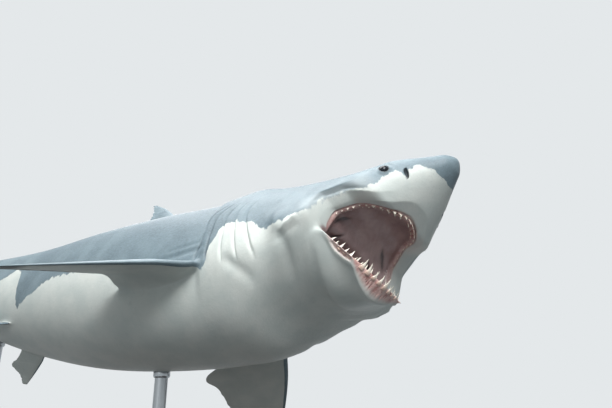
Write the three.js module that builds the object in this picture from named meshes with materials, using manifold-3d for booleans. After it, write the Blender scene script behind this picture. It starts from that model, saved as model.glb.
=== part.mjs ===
// Great white shark, life size, banking on a display stand.
//
// The body is drawn straight and with its mouth shut, in hundredths of the total
// length: s runs back from the snout tip, y to the shark's left and z up from the
// body's axis. The jaw is then opened about its hinge, the spine is bent, and the
// whole animal is banked and set above the base. Millimetres, +Z up; +X is the way
// the trunk points, and the origin is the centre of the base's underside.

import * as THREE from "three";
import { mergeVertices } from "three/addons/utils/BufferGeometryUtils.js";
import Module from "manifold-3d";

const wasm = await Module();
wasm.setup();

// ---------------------------------------------------------------- driving sizes

const TOTAL_LENGTH = 4300;
const UNIT = TOTAL_LENGTH / 100;
const GAP = 0.35;

// Lines of the body: distance from the axis up, down and sideways at each station.
const STATIONS = [0, 2, 5, 9, 14, 20, 27, 37, 47, 57, 67, 76, 82, 86, 90];
const TOP = [0.68, 1.45, 2.65, 4.1, 6.3, 8.3, 7.9, 8.4, 8.0, 6.4, 4.9, 2.9, 1.75, 1.5, 0.5];
const BOTTOM = [0.75, 1.62, 2.85, 4.4, 6.7, 9.2, 9.9, 9.9, 9.2, 7.6, 5.3, 3.0, 1.8, 1.5, 0.5];
const WIDTH = [0.8, 2.1, 4.1, 5.6, 7.2, 8.3, 8.4, 8.4, 7.8, 6.25, 4.45, 2.9, 2.4, 2.1, 0.6];
const ROUNDNESS_TOP = 2.1;
const ROUNDNESS_BOTTOM = 2.25;
const SNOUT_ROUNDING = 0.9;
const CHIN_DEPTH = 0.8;

// Mouth: the line of the shut lips in side view, its corner and the jaw's hinge.
const HINGE = { s: 13.2, z: -3.9 };
const LIP_SLOPE = 0.12;
const MOUTH_CORNER = 12.9;
const MOUTH_WALL = 1.0;
const CHEEK_SWELL = 1.6;
const GILL_FLARE = 0.35;
const JAW_MUSCLE = 1.1;
const LIP_DROOP = 0.75;
const CHIN_FRONT = 7.65;
const CHIN_CURVE = 0.07;
const PALATE_RISE = 1.9;
const FLOOR_DROP = 1.0;
const CHIN_CLEARANCE = 4;
const THROAT_END = 18.4;

// Pose.
const GAPE = THREE.MathUtils.degToRad(74.7);
const LIP_LIFT = 1.9;
const THROAT_SWELL = 0.55;
const HEAD_PITCH = THREE.MathUtils.degToRad(21.1);
const HEAD_YAW = THREE.MathUtils.degToRad(-15.9);
const TAIL_PITCH = THREE.MathUtils.degToRad(-1.7);
const TAIL_YAW = THREE.MathUtils.degToRad(21.4);
const BANK = THREE.MathUtils.degToRad(26.2);
const TRUNK_PITCH = THREE.MathUtils.degToRad(1.6);
const TRUNK_STATION = 30;
const TRUNK_PLACE = new THREE.Vector3(330, 30, 1170);

// Stand.
const BASE = { length: 2500, width: 1300, height: 40, corner: 160, bevel: 8 };
const ROD_RADIUS = 32;
const ROD_STATIONS = { stand_rod_front: 38, stand_rod_rear: 65 };

// Where the body is parted: node name and the stations it runs between.
const BODY_PARTS = {
  gill_region: [20, 29],
  trunk_front: [29, 47],
  trunk_rear: [47, 66],
  tail_stock: [66, 91],
};
const HEAD_RING = 30;
const TRUNK_RING = 24;

// ---------------------------------------------------------------- small functions

function smooth(low, high, x) {
  const t = Math.min(Math.max((x - low) / (high - low), 0), 1);
  return t * t * (3 - 2 * t);
}

/** A smooth curve through the points (xs, ys). */
function curveThrough(xs, ys) {
  const gaps = xs.slice(1).map((x, i) => x - xs[i]);
  const slopes = gaps.map((gap, i) => (ys[i + 1] - ys[i]) / gap);
  const tangents = xs.map((x, i) => {
    if (i === 0) return slopes[0];
    if (i === xs.length - 1) return slopes[i - 1];
    return (slopes[i - 1] * gaps[i] + slopes[i] * gaps[i - 1]) / (gaps[i] + gaps[i - 1]);
  });
  return (x) => {
    let i = 0;
    while (i < gaps.length - 1 && x > xs[i + 1]) i += 1;
    const t = Math.min(Math.max((x - xs[i]) / gaps[i], 0), 1);
    const a = (1 + 2 * t) * (1 - t) ** 2 * ys[i] + t * t * (3 - 2 * t) * ys[i + 1];
    const b = t * (1 - t) ** 2 * tangents[i] - t * t * (1 - t) * tangents[i + 1];
    return a + b * gaps[i];
  };
}

function range(count, from, to) {
  return Array.from({ length: count + 1 }, (_, i) => from + ((to - from) * i) / count);
}

const topLine = curveThrough(STATIONS, TOP);
const bottomLine = curveThrough(STATIONS, BOTTOM);
const widthLine = curveThrough(STATIONS, WIDTH);

/**
 * A point of the body's surface: station s and angle round from the left side. The
 * cheeks swell out over the lips and at the jaw muscle, the chin swells down and the
 * gill covers flare, with a step behind the last gill slit.
 */
function bodyPoint(s, angle, grow = 0) {
  const c = Math.cos(angle);
  const q = Math.sin(angle);
  const n = q > 0 ? ROUNDNESS_TOP : ROUNDNESS_BOTTOM;
  const r = (Math.abs(c) ** n + Math.abs(q) ** n) ** (-1 / n);
  const nose = Math.sqrt(1 - (1 - Math.min(s / SNOUT_ROUNDING, 1)) ** 2);
  const height = q > 0 ? topLine(s) : bottomLine(s);
  const y = (widthLine(s) * nose + grow) * c * r;
  const z = (height * nose + grow) * q * r;
  const overLip = z - lipHeight(s);
  const cheek = CHEEK_SWELL * smooth(5.2, 9, s) * (1 - smooth(13, 18.5, s))
    * smooth(-0.1, 1.1, overLip) * (1 - smooth(1.1, 4.8, overLip));
  const muscle = JAW_MUSCLE * smooth(10.8, 13.6, s) * (1 - smooth(14.5, 19, s))
    * smooth(-8, -4.5, z) * (1 - smooth(-3, 0.5, z));
  const chin = CHIN_DEPTH * smooth(6.6, 8.0, s) * (1 - smooth(9, 16, s)) * Math.max(-q, 0) ** 6;
  const flare = GILL_FLARE * smooth(17.5, 22, s) * (1 - smooth(25.9, 26.9, s))
    * smooth(-8.5, -4, z) * (1 - smooth(7.5, 9, z));
  const swell = Math.sign(c) * Math.min(Math.abs(c) * 4, 1) * (cheek + muscle) + flare * c;
  return [s, y + swell, z - chin + 0.7 * flare * q];
}

function lipHeight(s) {
  return HINGE.z + LIP_SLOPE * (HINGE.s - s);
}

/** Half width of the body where the shut lips meet its side. */
function lipHalfWidth(s) {
  const ratio = Math.min(-lipHeight(s) / bottomLine(s), 1);
  return widthLine(s) * (1 - ratio ** ROUNDNESS_BOTTOM) ** (1 / ROUNDNESS_BOTTOM);
}

// ---------------------------------------------------------------- pose

/**
 * Swings what lies below the lips about the hinge. The swing fades out round the back
 * of the hinge, where the throat swells, and the upper lip is drawn up.
 */
function openJaw([s, y, z], part = "flesh") {
  const ahead = HINGE.s - s;
  const above = z - HINGE.z;
  const overLip = above - LIP_SLOPE * Math.max(ahead, 0);
  const round = -THREE.MathUtils.radToDeg(Math.atan2(overLip, ahead));
  const flesh = part === "flesh" && round > 0;
  const inFront = 1 - smooth(16, 25, s);
  let share = part === "lower" ? 1 : 0;
  let swell = 1;
  if (flesh) {
    const t = Math.min(Math.max((round - 40) / 140, 0), 1);
    share = (1 - (t + smooth(0, 1, t)) / 2) * inFront;
    swell += THROAT_SWELL * smooth(8, 60, round) * (1 - smooth(85, 175, round)) * inFront;
  }
  const turn = -GAPE * share;
  const cos = Math.cos(turn) * swell;
  const sin = Math.sin(turn) * swell;
  let lift = 0;
  if (part !== "lower" && !flesh) {
    const along = smooth(7.0, 10.0, s) * (1 - smooth(11.5, 13.3, s));
    lift = LIP_LIFT * along * (1 - smooth(0, 3.2, overLip));
  }
  return [HINGE.s - (ahead * cos - above * sin), y, HINGE.z + ahead * sin + above * cos + lift];
}

/** The bent spine: its place and its three directions at every quarter station. */
const SPINE_STEP = 0.25;
const spine = range(Math.round(112 / SPINE_STEP), -6, 106).map((s) => {
  const pitch = HEAD_PITCH * (1 - smooth(8, 26, s)) + TAIL_PITCH * smooth(35, 85, s);
  const yaw = HEAD_YAW * (1 - smooth(8, 30, s)) + TAIL_YAW * smooth(32, 85, s);
  const ahead = new THREE.Vector3(
    Math.cos(pitch) * Math.cos(yaw), Math.cos(pitch) * Math.sin(yaw), Math.sin(pitch));
  const left = new THREE.Vector3(-Math.sin(yaw), Math.cos(yaw), 0);
  const up = new THREE.Vector3().crossVectors(ahead, left);
  return { s, ahead, left, up, place: new THREE.Vector3() };
});
for (let i = 1; i < spine.length; i += 1) {
  const middle = spine[i].ahead.clone().add(spine[i - 1].ahead).multiplyScalar(0.5);
  spine[i].place.copy(spine[i - 1].place).addScaledVector(middle, -SPINE_STEP);
}
const trunkIndex = Math.round((TRUNK_STATION - spine[0].s) / SPINE_STEP);
const trunkCentre = spine[trunkIndex].place.clone();
spine.forEach((bone) => bone.place.sub(trunkCentre));

/** Trunk directions in the room: the bank lowers the left side. */
const trunkAhead = new THREE.Vector3(Math.cos(TRUNK_PITCH), 0, Math.sin(TRUNK_PITCH));
const level = new THREE.Vector3(0, 1, 0);
const over = new THREE.Vector3().crossVectors(trunkAhead, level);
const trunkLeft = level.clone().multiplyScalar(Math.cos(BANK)).addScaledVector(over, -Math.sin(BANK));
const trunkUp = over.clone().multiplyScalar(Math.cos(BANK)).addScaledVector(level, Math.sin(BANK));

function spineAt(s) {
  const at = (s - spine[0].s) / SPINE_STEP;
  const i = Math.min(Math.max(Math.floor(at), 0), spine.length - 2);
  const mix = (key) => spine[i][key].clone().lerp(spine[i + 1][key], at - i);
  return { place: mix("place"), ahead: mix("ahead"), left: mix("left"), up: mix("up") };
}

function toRoom(vector) {
  return new THREE.Vector3()
    .addScaledVector(trunkAhead, vector.x)
    .addScaledVector(trunkLeft, vector.y)
    .addScaledVector(trunkUp, vector.z);
}

/** A point of the straight shark, in millimetres in the room. */
function pose([s, y, z]) {
  const bone = spineAt(s);
  const local = bone.place.addScaledVector(bone.left, y).addScaledVector(bone.up, z);
  return toRoom(local).multiplyScalar(UNIT).add(TRUNK_PLACE);
}

// ---------------------------------------------------------------- solids

/** A solid from a closed geometry, with its faces turned outwards. */
function solidFrom(geometry) {
  const bare = geometry.index ? geometry.toNonIndexed() : geometry.clone();
  for (const name of Object.keys(bare.attributes)) {
    if (name !== "position") bare.deleteAttribute(name);
  }
  const merged = mergeVertices(bare, 1e-4);
  const corners = merged.index.array;
  const faces = [];
  for (let i = 0; i < corners.length; i += 3) {
    const [a, b, c] = corners.slice(i, i + 3);
    if (a !== b && b !== c && c !== a) faces.push([a, b, c]);
  }
  const build = (triangles) => new wasm.Manifold(new wasm.Mesh({
    numProp: 3,
    vertProperties: new Float32Array(merged.attributes.position.array),
    triVerts: new Uint32Array(triangles.flat()),
  }));
  const solid = build(faces);
  return solid.volume() > 0 ? solid : build(faces.map((face) => face.toReversed()));
}

function geometryOf(solid) {
  const mesh = solid.getMesh();
  const geometry = new THREE.BufferGeometry();
  geometry.setAttribute("position", new THREE.BufferAttribute(mesh.vertProperties, 3));
  geometry.setIndex(new THREE.BufferAttribute(mesh.triVerts, 1));
  return geometry;
}

/** Moves every corner of a solid by a function of its coordinates. */
function warped(solid, move) {
  const geometry = geometryOf(solid);
  const position = geometry.attributes.position;
  for (let i = 0; i < position.count; i += 1) {
    const point = move([position.getX(i), position.getY(i), position.getZ(i)]);
    position.setXYZ(i, point.x, point.y, point.z);
  }
  return solidFrom(geometry);
}

/** A closed loft through rings of equal length, with flat fans over its two ends. */
function loft(rings) {
  const count = rings[0].length;
  const points = rings.flat();
  const middle = (ring) => [0, 1, 2].map((k) => ring.reduce((sum, p) => sum + p[k], 0) / count);
  points.push(middle(rings[0]), middle(rings[rings.length - 1]));
  const faces = [];
  for (let i = 0; i < rings.length - 1; i += 1) {
    for (let j = 0; j < count; j += 1) {
      const k = (j + 1) % count;
      const a = i * count + j;
      const b = i * count + k;
      faces.push(a, b, a + count, b, b + count, a + count);
    }
  }
  const first = points.length - 2;
  const lastRing = (rings.length - 1) * count;
  for (let j = 0; j < count; j += 1) {
    const k = (j + 1) % count;
    faces.push(first, k, j);
    faces.push(first + 1, lastRing + j, lastRing + k);
  }
  const geometry = new THREE.BufferGeometry();
  geometry.setAttribute("position", new THREE.BufferAttribute(new Float32Array(points.flat()), 3));
  geometry.setIndex(faces);
  return solidFrom(geometry);
}

function bodyLoft(stations, points, grow = 0) {
  const angles = range(points, 0, 2 * Math.PI).slice(0, -1);
  return loft(stations.map((s) => angles.map((angle) => bodyPoint(s, angle, grow))));
}

/** A large block that covers everything ahead of (1) or behind (-1) a station's plane. */
function blockFrom(s, side, offset) {
  const bone = spineAt(s);
  const size = 2 * TOTAL_LENGTH;
  const geometry = new THREE.BoxGeometry(size, size, size);
  geometry.translate((side * size) / 2 + offset, 0, 0);
  geometry.applyMatrix4(new THREE.Matrix4().makeBasis(
    toRoom(bone.ahead), toRoom(bone.left), toRoom(bone.up)));
  const place = pose([s, 0, 0]);
  geometry.translate(place.x, place.y, place.z);
  return solidFrom(geometry);
}

// ---------------------------------------------------------------- head and jaw

/**
 * The space between the shut lips: a thin slit that opens inwards to mouth and throat.
 * Below, it also clears what lies ahead of the chin and lowers the lip outside the gum.
 */
function mouthSpace() {
  const slit = 0.006;
  const stations = [
    5, 6.4, 7.2, 7.4, 7.65, 7.9, 8.15, 8.4, 8.7, 9.1, 9.8, 10.8, 11.8, MOUTH_CORNER];
  const throat = range(5, MOUTH_CORNER + 0.01, THROAT_END);
  const across = range(8, -1, 1);
  const rings = [...stations, ...throat].map((s) => {
    const back = Math.max(s - MOUTH_CORNER, 0) / (THROAT_END - MOUTH_CORNER);
    const end = Math.sqrt(Math.max(1 - back ** 2.5, 0));
    const lip = lipHalfWidth(Math.min(s, MOUTH_CORNER));
    const half = Math.max((lip - MOUTH_WALL) * (0.35 + 0.65 * end), 0.1);
    const [gum, ridge, outside] = s <= MOUTH_CORNER
      ? [lip - 0.55, lip - 0.4, 10] : [half + 0.01, half + 0.02, half + 0.03];
    const rise = PALATE_RISE * smooth(6.6, 9.5, s) * end + 0.05 * back;
    const drop = FLOOR_DROP * (1 + 1.2 * back) * smooth(8.0, 9.4, s) * end + 0.05 * back;
    const droop = LIP_DROOP * smooth(7.6, 9.0, s) * (1 - smooth(11.6, MOUTH_CORNER, s));
    const floor = (y, dome) => {
      const front = CHIN_FRONT + CHIN_CURVE * Math.min(Math.abs(y), lip) ** 2;
      const ahead = CHIN_CLEARANCE * (1 - smooth(front - 0.25, front + 0.25, s));
      return lipHeight(s) - slit - ahead - drop * dome;
    };
    const dome = (v) => Math.sqrt(Math.max(1 - v * v, 0));
    const upper = across.map((v) => [s, v * half, lipHeight(s) + slit + rise * dome(v)]);
    const lower = across.map((v) => [s, v * half, floor(v * half, dome(v))]);
    const side = (sign) => [
      [s, sign * gum, floor(gum, 0)],
      [s, sign * ridge, floor(ridge, 0) - droop],
      [s, sign * outside, floor(outside, 0) - droop],
    ];
    return [
      [s, -outside, lipHeight(s) + slit], ...upper, [s, outside, lipHeight(s) + slit],
      ...side(1).toReversed(), ...lower.toReversed(), ...side(-1),
    ];
  });
  return loft(rings);
}

const frontStations = [
  0, 0.08, 0.28, 0.6, 1.1, 1.8, 2.8, 3.9, 5.0, 6.0, 6.8, 7.6, 8.4, 9.3, 10.2,
  11.1, 12.0, 12.8, 13.5, 14.4, 15.6, 17, 18.5, 20.3,
];
const shutFront = bodyLoft(frontStations, HEAD_RING).subtract(mouthSpace());
const openFront = warped(shutFront, (point) => pose(openJaw(point)));

/** A block with its rear upper edge on the hinge, turned with the jaw: it holds the jaw. */
function jawBlock(grow) {
  const size = TOTAL_LENGTH;
  const geometry = new THREE.BoxGeometry(size, size, size);
  geometry.translate(size / 2 - grow, 0, -size / 2 + grow);
  const cut = THREE.MathUtils.degToRad(-60) - GAPE + Math.PI / 2;
  geometry.rotateY(-cut);
  const bone = spineAt(HINGE.s);
  geometry.applyMatrix4(new THREE.Matrix4().makeBasis(
    toRoom(bone.ahead), toRoom(bone.left), toRoom(bone.up)));
  const place = pose([HINGE.s, 0, HINGE.z]);
  geometry.translate(place.x, place.y, place.z);
  return solidFrom(geometry);
}

/** Plan of a tooth row on the left: points (s, y) from the front of the jaw to its corner. */
function toothLine(part) {
  const front = part === "lower" ? CHIN_FRONT + 0.3 : 6.75;
  const inset = 0.45;
  const points = [];
  for (const s of range(60, front, 12.1)) {
    const arc = part === "lower" ? Math.sqrt(Math.max(s - front, 0) / CHIN_CURVE) : Infinity;
    points.push(new THREE.Vector2(s, Math.min(arc, Math.max(lipHalfWidth(s) - inset, 0.1))));
  }
  return points;
}

/** One flat, pointed tooth; rise is +1 on the lower jaw and -1 on the upper. */
function tooth({ place, run, side, rise, part, wide, high }) {
  const root = 0.3;
  const thick = 0.16 * wide;
  const inwards = new THREE.Vector2(run.y, -run.x);
  const ring = (size, height, lean) => [[-0.5, 0], [0, -1], [0.5, 0], [0, 1]].map(([along, through]) => {
    const out = place.clone()
      .addScaledVector(run, along * wide * size)
      .addScaledVector(inwards, through * thick * size + lean);
    const point = [out.x, side * out.y, lipHeight(place.x) + rise * height];
    return pose(openJaw(point, part)).toArray();
  });
  return loft([ring(1, -root, 0), ring(0.04, high, 0.12 * high)]);
}

function toothRow(part) {
  const line = new THREE.SplineCurve(toothLine(part));
  const count = part === "lower" ? 10 : 11;
  const rise = part === "lower" ? 1 : -1;
  const tallest = part === "lower" ? 0.85 : 0.6;
  const teeth = [];
  for (const side of [-1, 1]) {
    for (let i = 0; i < count; i += 1) {
      const t = (i + 0.5) / count;
      const at = 1.15 * t - 0.15 * t * t;
      const size = 1 - 0.5 * t;
      const place = line.getPointAt(Math.min(at, 1));
      const run = line.getTangentAt(Math.min(at, 1));
      teeth.push(tooth({ place, run, side, rise, part, wide: 0.72 * size, high: tallest * size }));
    }
  }
  return teeth;
}

// ---------------------------------------------------------------- fins

const EDGE_THICKNESS = 0.045;

/** Half thickness of a fin's section at x from its front (0) to its rear edge (1). */
function foil(x) {
  return 5 * (0.2969 * Math.sqrt(x) - 0.126 * x - 0.3516 * x ** 2 + 0.2843 * x ** 3 - 0.1036 * x ** 4);
}

/**
 * A fin from its root to its tip: out is where it points, and chordAt(t) the way its
 * chord runs back at t along it.
 */
function fin({ root, out, chordAt, span, front, rear, thickness, steps = 10 }) {
  const chordSteps = [0, 0.05, 0.2, 0.5, 1];
  const rings = range(steps, 0, 1).map((t) => {
    const lead = front(t);
    const chord = Math.max(rear(t) - lead, 0.12);
    const aft = chordAt(t);
    const normal = new THREE.Vector3().crossVectors(out, aft).normalize();
    const base = root.clone().addScaledVector(out, span * t);
    const side = (x, sign) => {
      const half = Math.max(foil(x) * thickness(t) * chord, EDGE_THICKNESS / 2);
      return base.clone().addScaledVector(aft, lead + chord * x).addScaledVector(normal, sign * half);
    };
    const ring = [...chordSteps.map((x) => side(x, 1)), ...chordSteps.toReversed().map((x) => side(x, -1))];
    return ring.map((p) => pose(p.toArray()).toArray());
  });
  return loft(rings);
}

/** Directions of a side fin: swept, then drooped, then pitched about its own length. */
function sideFinPlane({ side, sweep, droop, pitch, rootPitch = pitch }) {
  const lower = (x, y) => new THREE.Vector3(x, y * Math.cos(droop), -y * side * Math.sin(droop));
  const out = lower(Math.sin(sweep), side * Math.cos(sweep));
  const level = lower(Math.cos(sweep), -side * Math.sin(sweep));
  const normal = new THREE.Vector3(0, side * Math.sin(droop), Math.cos(droop));
  const chordAt = (t) => {
    const angle = pitch + (rootPitch - pitch) * (1 - smooth(0.12, 0.36, t));
    return level.clone().multiplyScalar(Math.cos(angle)).addScaledVector(normal, -Math.sin(angle));
  };
  return { out, chordAt };
}

const degrees = THREE.MathUtils.degToRad;
const pectoralFront = curveThrough([0, 0.25, 0.5, 0.75, 1], [0, 1.7, 3.9, 6.5, 9.6]);
const pectoralRear = curveThrough(
  [0, 0.05, 0.1, 0.2, 0.35, 0.6, 0.8, 1], [8.2, 10.4, 11.2, 10.8, 10.6, 10.2, 10.2, 10.3]);
const PECTORALS = {
  pectoral_left: {
    side: 1, root: [24.9, 7.98, -4.3],
    sweep: degrees(-3.4), droop: degrees(22), pitch: degrees(7.8), rootPitch: degrees(15),
  },
  pectoral_right: {
    side: -1, root: [25.72, 8.05, -4.53],
    sweep: degrees(10), droop: degrees(34.5), pitch: degrees(-0.5), rootPitch: degrees(15),
  },
};
const PECTORAL_SPAN = 17.4;

function pectoral({ side, root, ...angles }) {
  const plane = sideFinPlane({ side, ...angles });
  const inner = 0.16;
  const start = new THREE.Vector3(root[0], side * root[1], root[2]);
  return fin({
    ...plane,
    root: start.addScaledVector(plane.out, -inner * PECTORAL_SPAN),
    span: PECTORAL_SPAN * (1 + inner),
    front: (t) => pectoralFront(Math.max(t * (1 + inner) - inner, 0)),
    rear: (t) => pectoralRear(Math.max(t * (1 + inner) - inner, 0)),
    thickness: (t) => 0.13 - 0.05 * t,
    steps: 12,
  });
}

function pelvic(side) {
  const plane = sideFinPlane({ side, sweep: degrees(8), droop: degrees(38), pitch: degrees(4) });
  return fin({
    ...plane,
    root: new THREE.Vector3(55.3, side * 2.6, -5.6),
    span: 6.2,
    front: (t) => 0.4 + 3.6 * t ** 1.2,
    rear: curveThrough([0, 0.45, 0.6, 0.8, 1], [4.6, 5.4, 6.2, 5.0, 4.6]),
    thickness: () => 0.1,
    steps: 8,
  });
}

/** An upright fin on the midline; up is 1 on the back and -1 on the belly. */
function midFin({ s, z, up, span, front, rear, thickness, steps }) {
  return fin({
    root: new THREE.Vector3(s, 0, z),
    out: new THREE.Vector3(0, 0, up),
    chordAt: () => new THREE.Vector3(1, 0, 0),
    span, front, rear, thickness, steps,
  });
}

function firstDorsal() {
  return midFin({
    s: 37.6, z: 7.0, up: 1, span: 9.2, steps: 10,
    front: curveThrough([0, 0.25, 0.6, 0.9, 1], [0, 1.3, 4.6, 8.0, 9.8]),
    rear: curveThrough([0, 0.2, 0.3, 0.42, 0.7, 0.9, 1], [9.6, 11.2, 12.2, 10.6, 9.6, 9.9, 10.4]),
    thickness: (t) => 0.12 - 0.04 * t,
  });
}

function smallMidFin(s, z, up) {
  return midFin({
    s, z, up, span: 3.6, steps: 6,
    front: curveThrough([0, 0.4, 0.8, 1], [0, 0.9, 2.0, 2.8]),
    rear: curveThrough([0, 0.5, 0.65, 0.85, 1], [1.9, 3.0, 4.0, 3.1, 3.1]),
    thickness: () => 0.12,
  });
}

const CAUDAL = {
  caudal_upper: {
    up: 1, height: 16,
    front: curveThrough([0, 0.1, 0.35, 0.65, 0.9, 1], [83.4, 83.8, 87.0, 92.0, 97.0, 99.5]),
    rear: curveThrough([0, 0.25, 0.55, 0.85, 1], [90.9, 91.7, 94.7, 98.8, 100]),
  },
  caudal_lower: {
    up: -1, height: 14.3,
    front: curveThrough([0, 0.1, 0.35, 0.65, 0.9, 1], [84.2, 84.6, 87.4, 90.8, 93.9, 95.6]),
    rear: curveThrough([0, 0.25, 0.55, 0.85, 1], [90.9, 91.3, 92.7, 95.2, 96.1]),
  },
};

function caudalLobe({ up, height, front, rear }) {
  return midFin({
    s: 0, z: up * 0.01, up, span: height, front, rear,
    thickness: (t) => 0.14 - 0.06 * t, steps: 9,
  });
}

// ---------------------------------------------------------------- eyes

const EYE = { s: 5.9, z: -0.4, radius: 0.52, out: 0.21 };

function eyeBall(side, grow) {
  const skin = bodyPoint(EYE.s, Math.atan2(EYE.z, widthLine(EYE.s)));
  const centre = [EYE.s, side * (skin[1] - EYE.radius + EYE.out), EYE.z];
  const place = pose(centre);
  const geometry = new THREE.SphereGeometry(EYE.radius * UNIT + grow, 14, 8);
  geometry.translate(place.x, place.y, place.z);
  return solidFrom(geometry);
}

// ---------------------------------------------------------------- stand

function standBase() {
  const { length, width, height, corner, bevel } = BASE;
  const outline = new THREE.Shape();
  const x = length / 2 - corner - bevel;
  const y = width / 2 - corner - bevel;
  outline.absarc(x, y, corner, 0, Math.PI / 2);
  outline.absarc(-x, y, corner, Math.PI / 2, Math.PI);
  outline.absarc(-x, -y, corner, Math.PI, 1.5 * Math.PI);
  outline.absarc(x, -y, corner, 1.5 * Math.PI, 2 * Math.PI);
  const geometry = new THREE.ExtrudeGeometry(outline, {
    depth: height - 2 * bevel,
    bevelThickness: bevel,
    bevelSize: bevel,
    bevelSegments: 2,
    curveSegments: 5,
  });
  geometry.translate(0, 0, bevel);
  return geometry;
}

function standRod(s) {
  const foot = pose([s, 0, 0]);
  const height = foot.z - BASE.height;
  const geometry = new THREE.CylinderGeometry(ROD_RADIUS, ROD_RADIUS, height, 24);
  geometry.rotateX(Math.PI / 2);
  geometry.translate(foot.x, foot.y, BASE.height + GAP + height / 2);
  return solidFrom(geometry);
}

// ---------------------------------------------------------------- assembly

const skinColour = new THREE.MeshStandardMaterial({ color: "#5f7079", roughness: 0.55 });
const finColour = new THREE.MeshStandardMaterial({ color: "#57666e", roughness: 0.6 });
const eyeColour = new THREE.MeshStandardMaterial({ color: "#0c0f12", roughness: 0.1 });
const baseColour = new THREE.MeshStandardMaterial({ color: "#3b4146", roughness: 0.6 });
const rodColour = new THREE.MeshStandardMaterial({ color: "#9aa1a6", roughness: 0.35, metalness: 1 });

const shark = new THREE.Group();

function addNode(name, shape, material) {
  const geometry = shape.isBufferGeometry ? shape : geometryOf(shape);
  const mesh = new THREE.Mesh(geometry, material);
  mesh.name = name;
  shark.add(mesh);
}

// Head and lower jaw, each with the teeth that grow from it, and the eyes.
const eyes = { eye_left: 1, eye_right: -1 };
let head = openFront.subtract(jawBlock(GAP)).intersect(blockFrom(20, 1, GAP / 2));
let lowerJaw = openFront.intersect(jawBlock(0));
toothRow("upper").forEach((solid) => {
  head = head.add(solid);
});
toothRow("lower").forEach((solid) => {
  lowerJaw = lowerJaw.add(solid);
});
for (const [name, side] of Object.entries(eyes)) {
  head = head.subtract(eyeBall(side, GAP));
  addNode(name, eyeBall(side, 0), eyeColour);
}
addNode("head", head, skinColour);
addNode("lower_jaw", lowerJaw, skinColour);

// The rest of the body, parted by flat cuts across the spine.
const rearStations = [
  19.5, 21, 22.7, 24.4, 25.9, 26.9, 28.5, 30.5, 33.5, 36.5, 40, 43.5, 47, 50.5, 54, 57.5, 61,
  64.5, 68, 71.5, 75, 78, 81, 83.5, 85.7, 87.5, 89, 90,
];
const openPose = (point) => pose(openJaw(point));
const rearBody = warped(bodyLoft(rearStations, TRUNK_RING), openPose);
const clearance = warped(bodyLoft(rearStations, TRUNK_RING, GAP / UNIT), openPose);
for (const [name, [from, to]] of Object.entries(BODY_PARTS)) {
  const part = rearBody.intersect(blockFrom(from, -1, -GAP / 2)).intersect(blockFrom(to, 1, GAP / 2));
  addNode(name, part, skinColour);
}

// Fins, each ending at the skin.
for (const [name, shape] of Object.entries(PECTORALS)) {
  addNode(name, pectoral(shape).subtract(clearance), finColour);
}
addNode("pelvic_left", pelvic(1).subtract(clearance), finColour);
addNode("pelvic_right", pelvic(-1).subtract(clearance), finColour);
addNode("first_dorsal", firstDorsal().subtract(clearance), finColour);
addNode("second_dorsal", smallMidFin(73.6, 2.2, 1).subtract(clearance), finColour);
addNode("anal_fin", smallMidFin(74.6, -2.2, -1).subtract(clearance), finColour);
for (const [name, lobe] of Object.entries(CAUDAL)) {
  addNode(name, caudalLobe(lobe).subtract(clearance), finColour);
}

// Stand.
addNode("stand_base", standBase(), baseColour);
for (const [name, station] of Object.entries(ROD_STATIONS)) {
  addNode(name, standRod(station).subtract(clearance), rodColour);
}

export default shark;
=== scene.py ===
"""Great white shark, life size, banking on a display stand: the looks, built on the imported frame.

The skin is drawn straight and with its mouth shut, in hundredths of the total length:
s runs back from the snout tip, y to the shark's left and z up from the body's axis.
Its parts are joined and smoothed there, the jaw is opened about its hinge, the spine
is bent, and the whole animal is banked and set above the base, as the frame has it.
"""

import math
from math import radians

import bpy
import numpy as np
from mathutils import Matrix, Vector
from mathutils.kdtree import KDTree


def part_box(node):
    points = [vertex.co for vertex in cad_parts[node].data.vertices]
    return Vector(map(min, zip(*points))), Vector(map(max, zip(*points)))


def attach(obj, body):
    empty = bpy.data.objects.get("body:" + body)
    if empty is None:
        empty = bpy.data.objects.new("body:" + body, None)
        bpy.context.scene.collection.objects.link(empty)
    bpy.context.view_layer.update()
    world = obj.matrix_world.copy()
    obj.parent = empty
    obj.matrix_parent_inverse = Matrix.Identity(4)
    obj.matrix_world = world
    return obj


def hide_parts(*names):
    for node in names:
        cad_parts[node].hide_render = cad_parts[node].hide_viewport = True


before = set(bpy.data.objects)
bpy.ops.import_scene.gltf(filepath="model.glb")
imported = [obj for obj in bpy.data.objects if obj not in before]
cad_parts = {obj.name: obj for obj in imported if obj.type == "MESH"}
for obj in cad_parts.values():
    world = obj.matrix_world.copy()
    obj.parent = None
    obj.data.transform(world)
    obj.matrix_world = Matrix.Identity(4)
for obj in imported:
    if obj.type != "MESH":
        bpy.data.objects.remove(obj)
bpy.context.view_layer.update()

# ---- driving sizes

# Metres to a hundredth of the length.
UNIT = 0.043

# Lines of the body: distance from the axis up, down and sideways at each station.
STATIONS = [0, 2, 5, 9, 14, 20, 27, 37, 47, 57, 67, 76, 82, 86, 90]
TOP = [0.68, 1.45, 2.65, 4.1, 6.3, 8.3, 7.9, 8.4, 8.0, 6.4, 4.9, 2.9, 1.75, 1.5, 0.5]
BOTTOM = [0.75, 1.62, 2.85, 4.4, 6.7, 9.2, 9.9, 9.9, 9.2, 7.6, 5.3, 3.0, 1.8, 1.5, 0.5]
WIDTH = [0.8, 2.1, 4.1, 5.6, 7.2, 8.3, 8.4, 8.4, 7.8, 6.25, 4.45, 2.9, 2.4, 2.1, 0.6]
ROUNDNESS_TOP = 2.1
ROUNDNESS_BOTTOM = 2.25
SNOUT_ROUNDING = 0.9
CHIN_DEPTH = 0.8
BODY_END = 90

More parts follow.
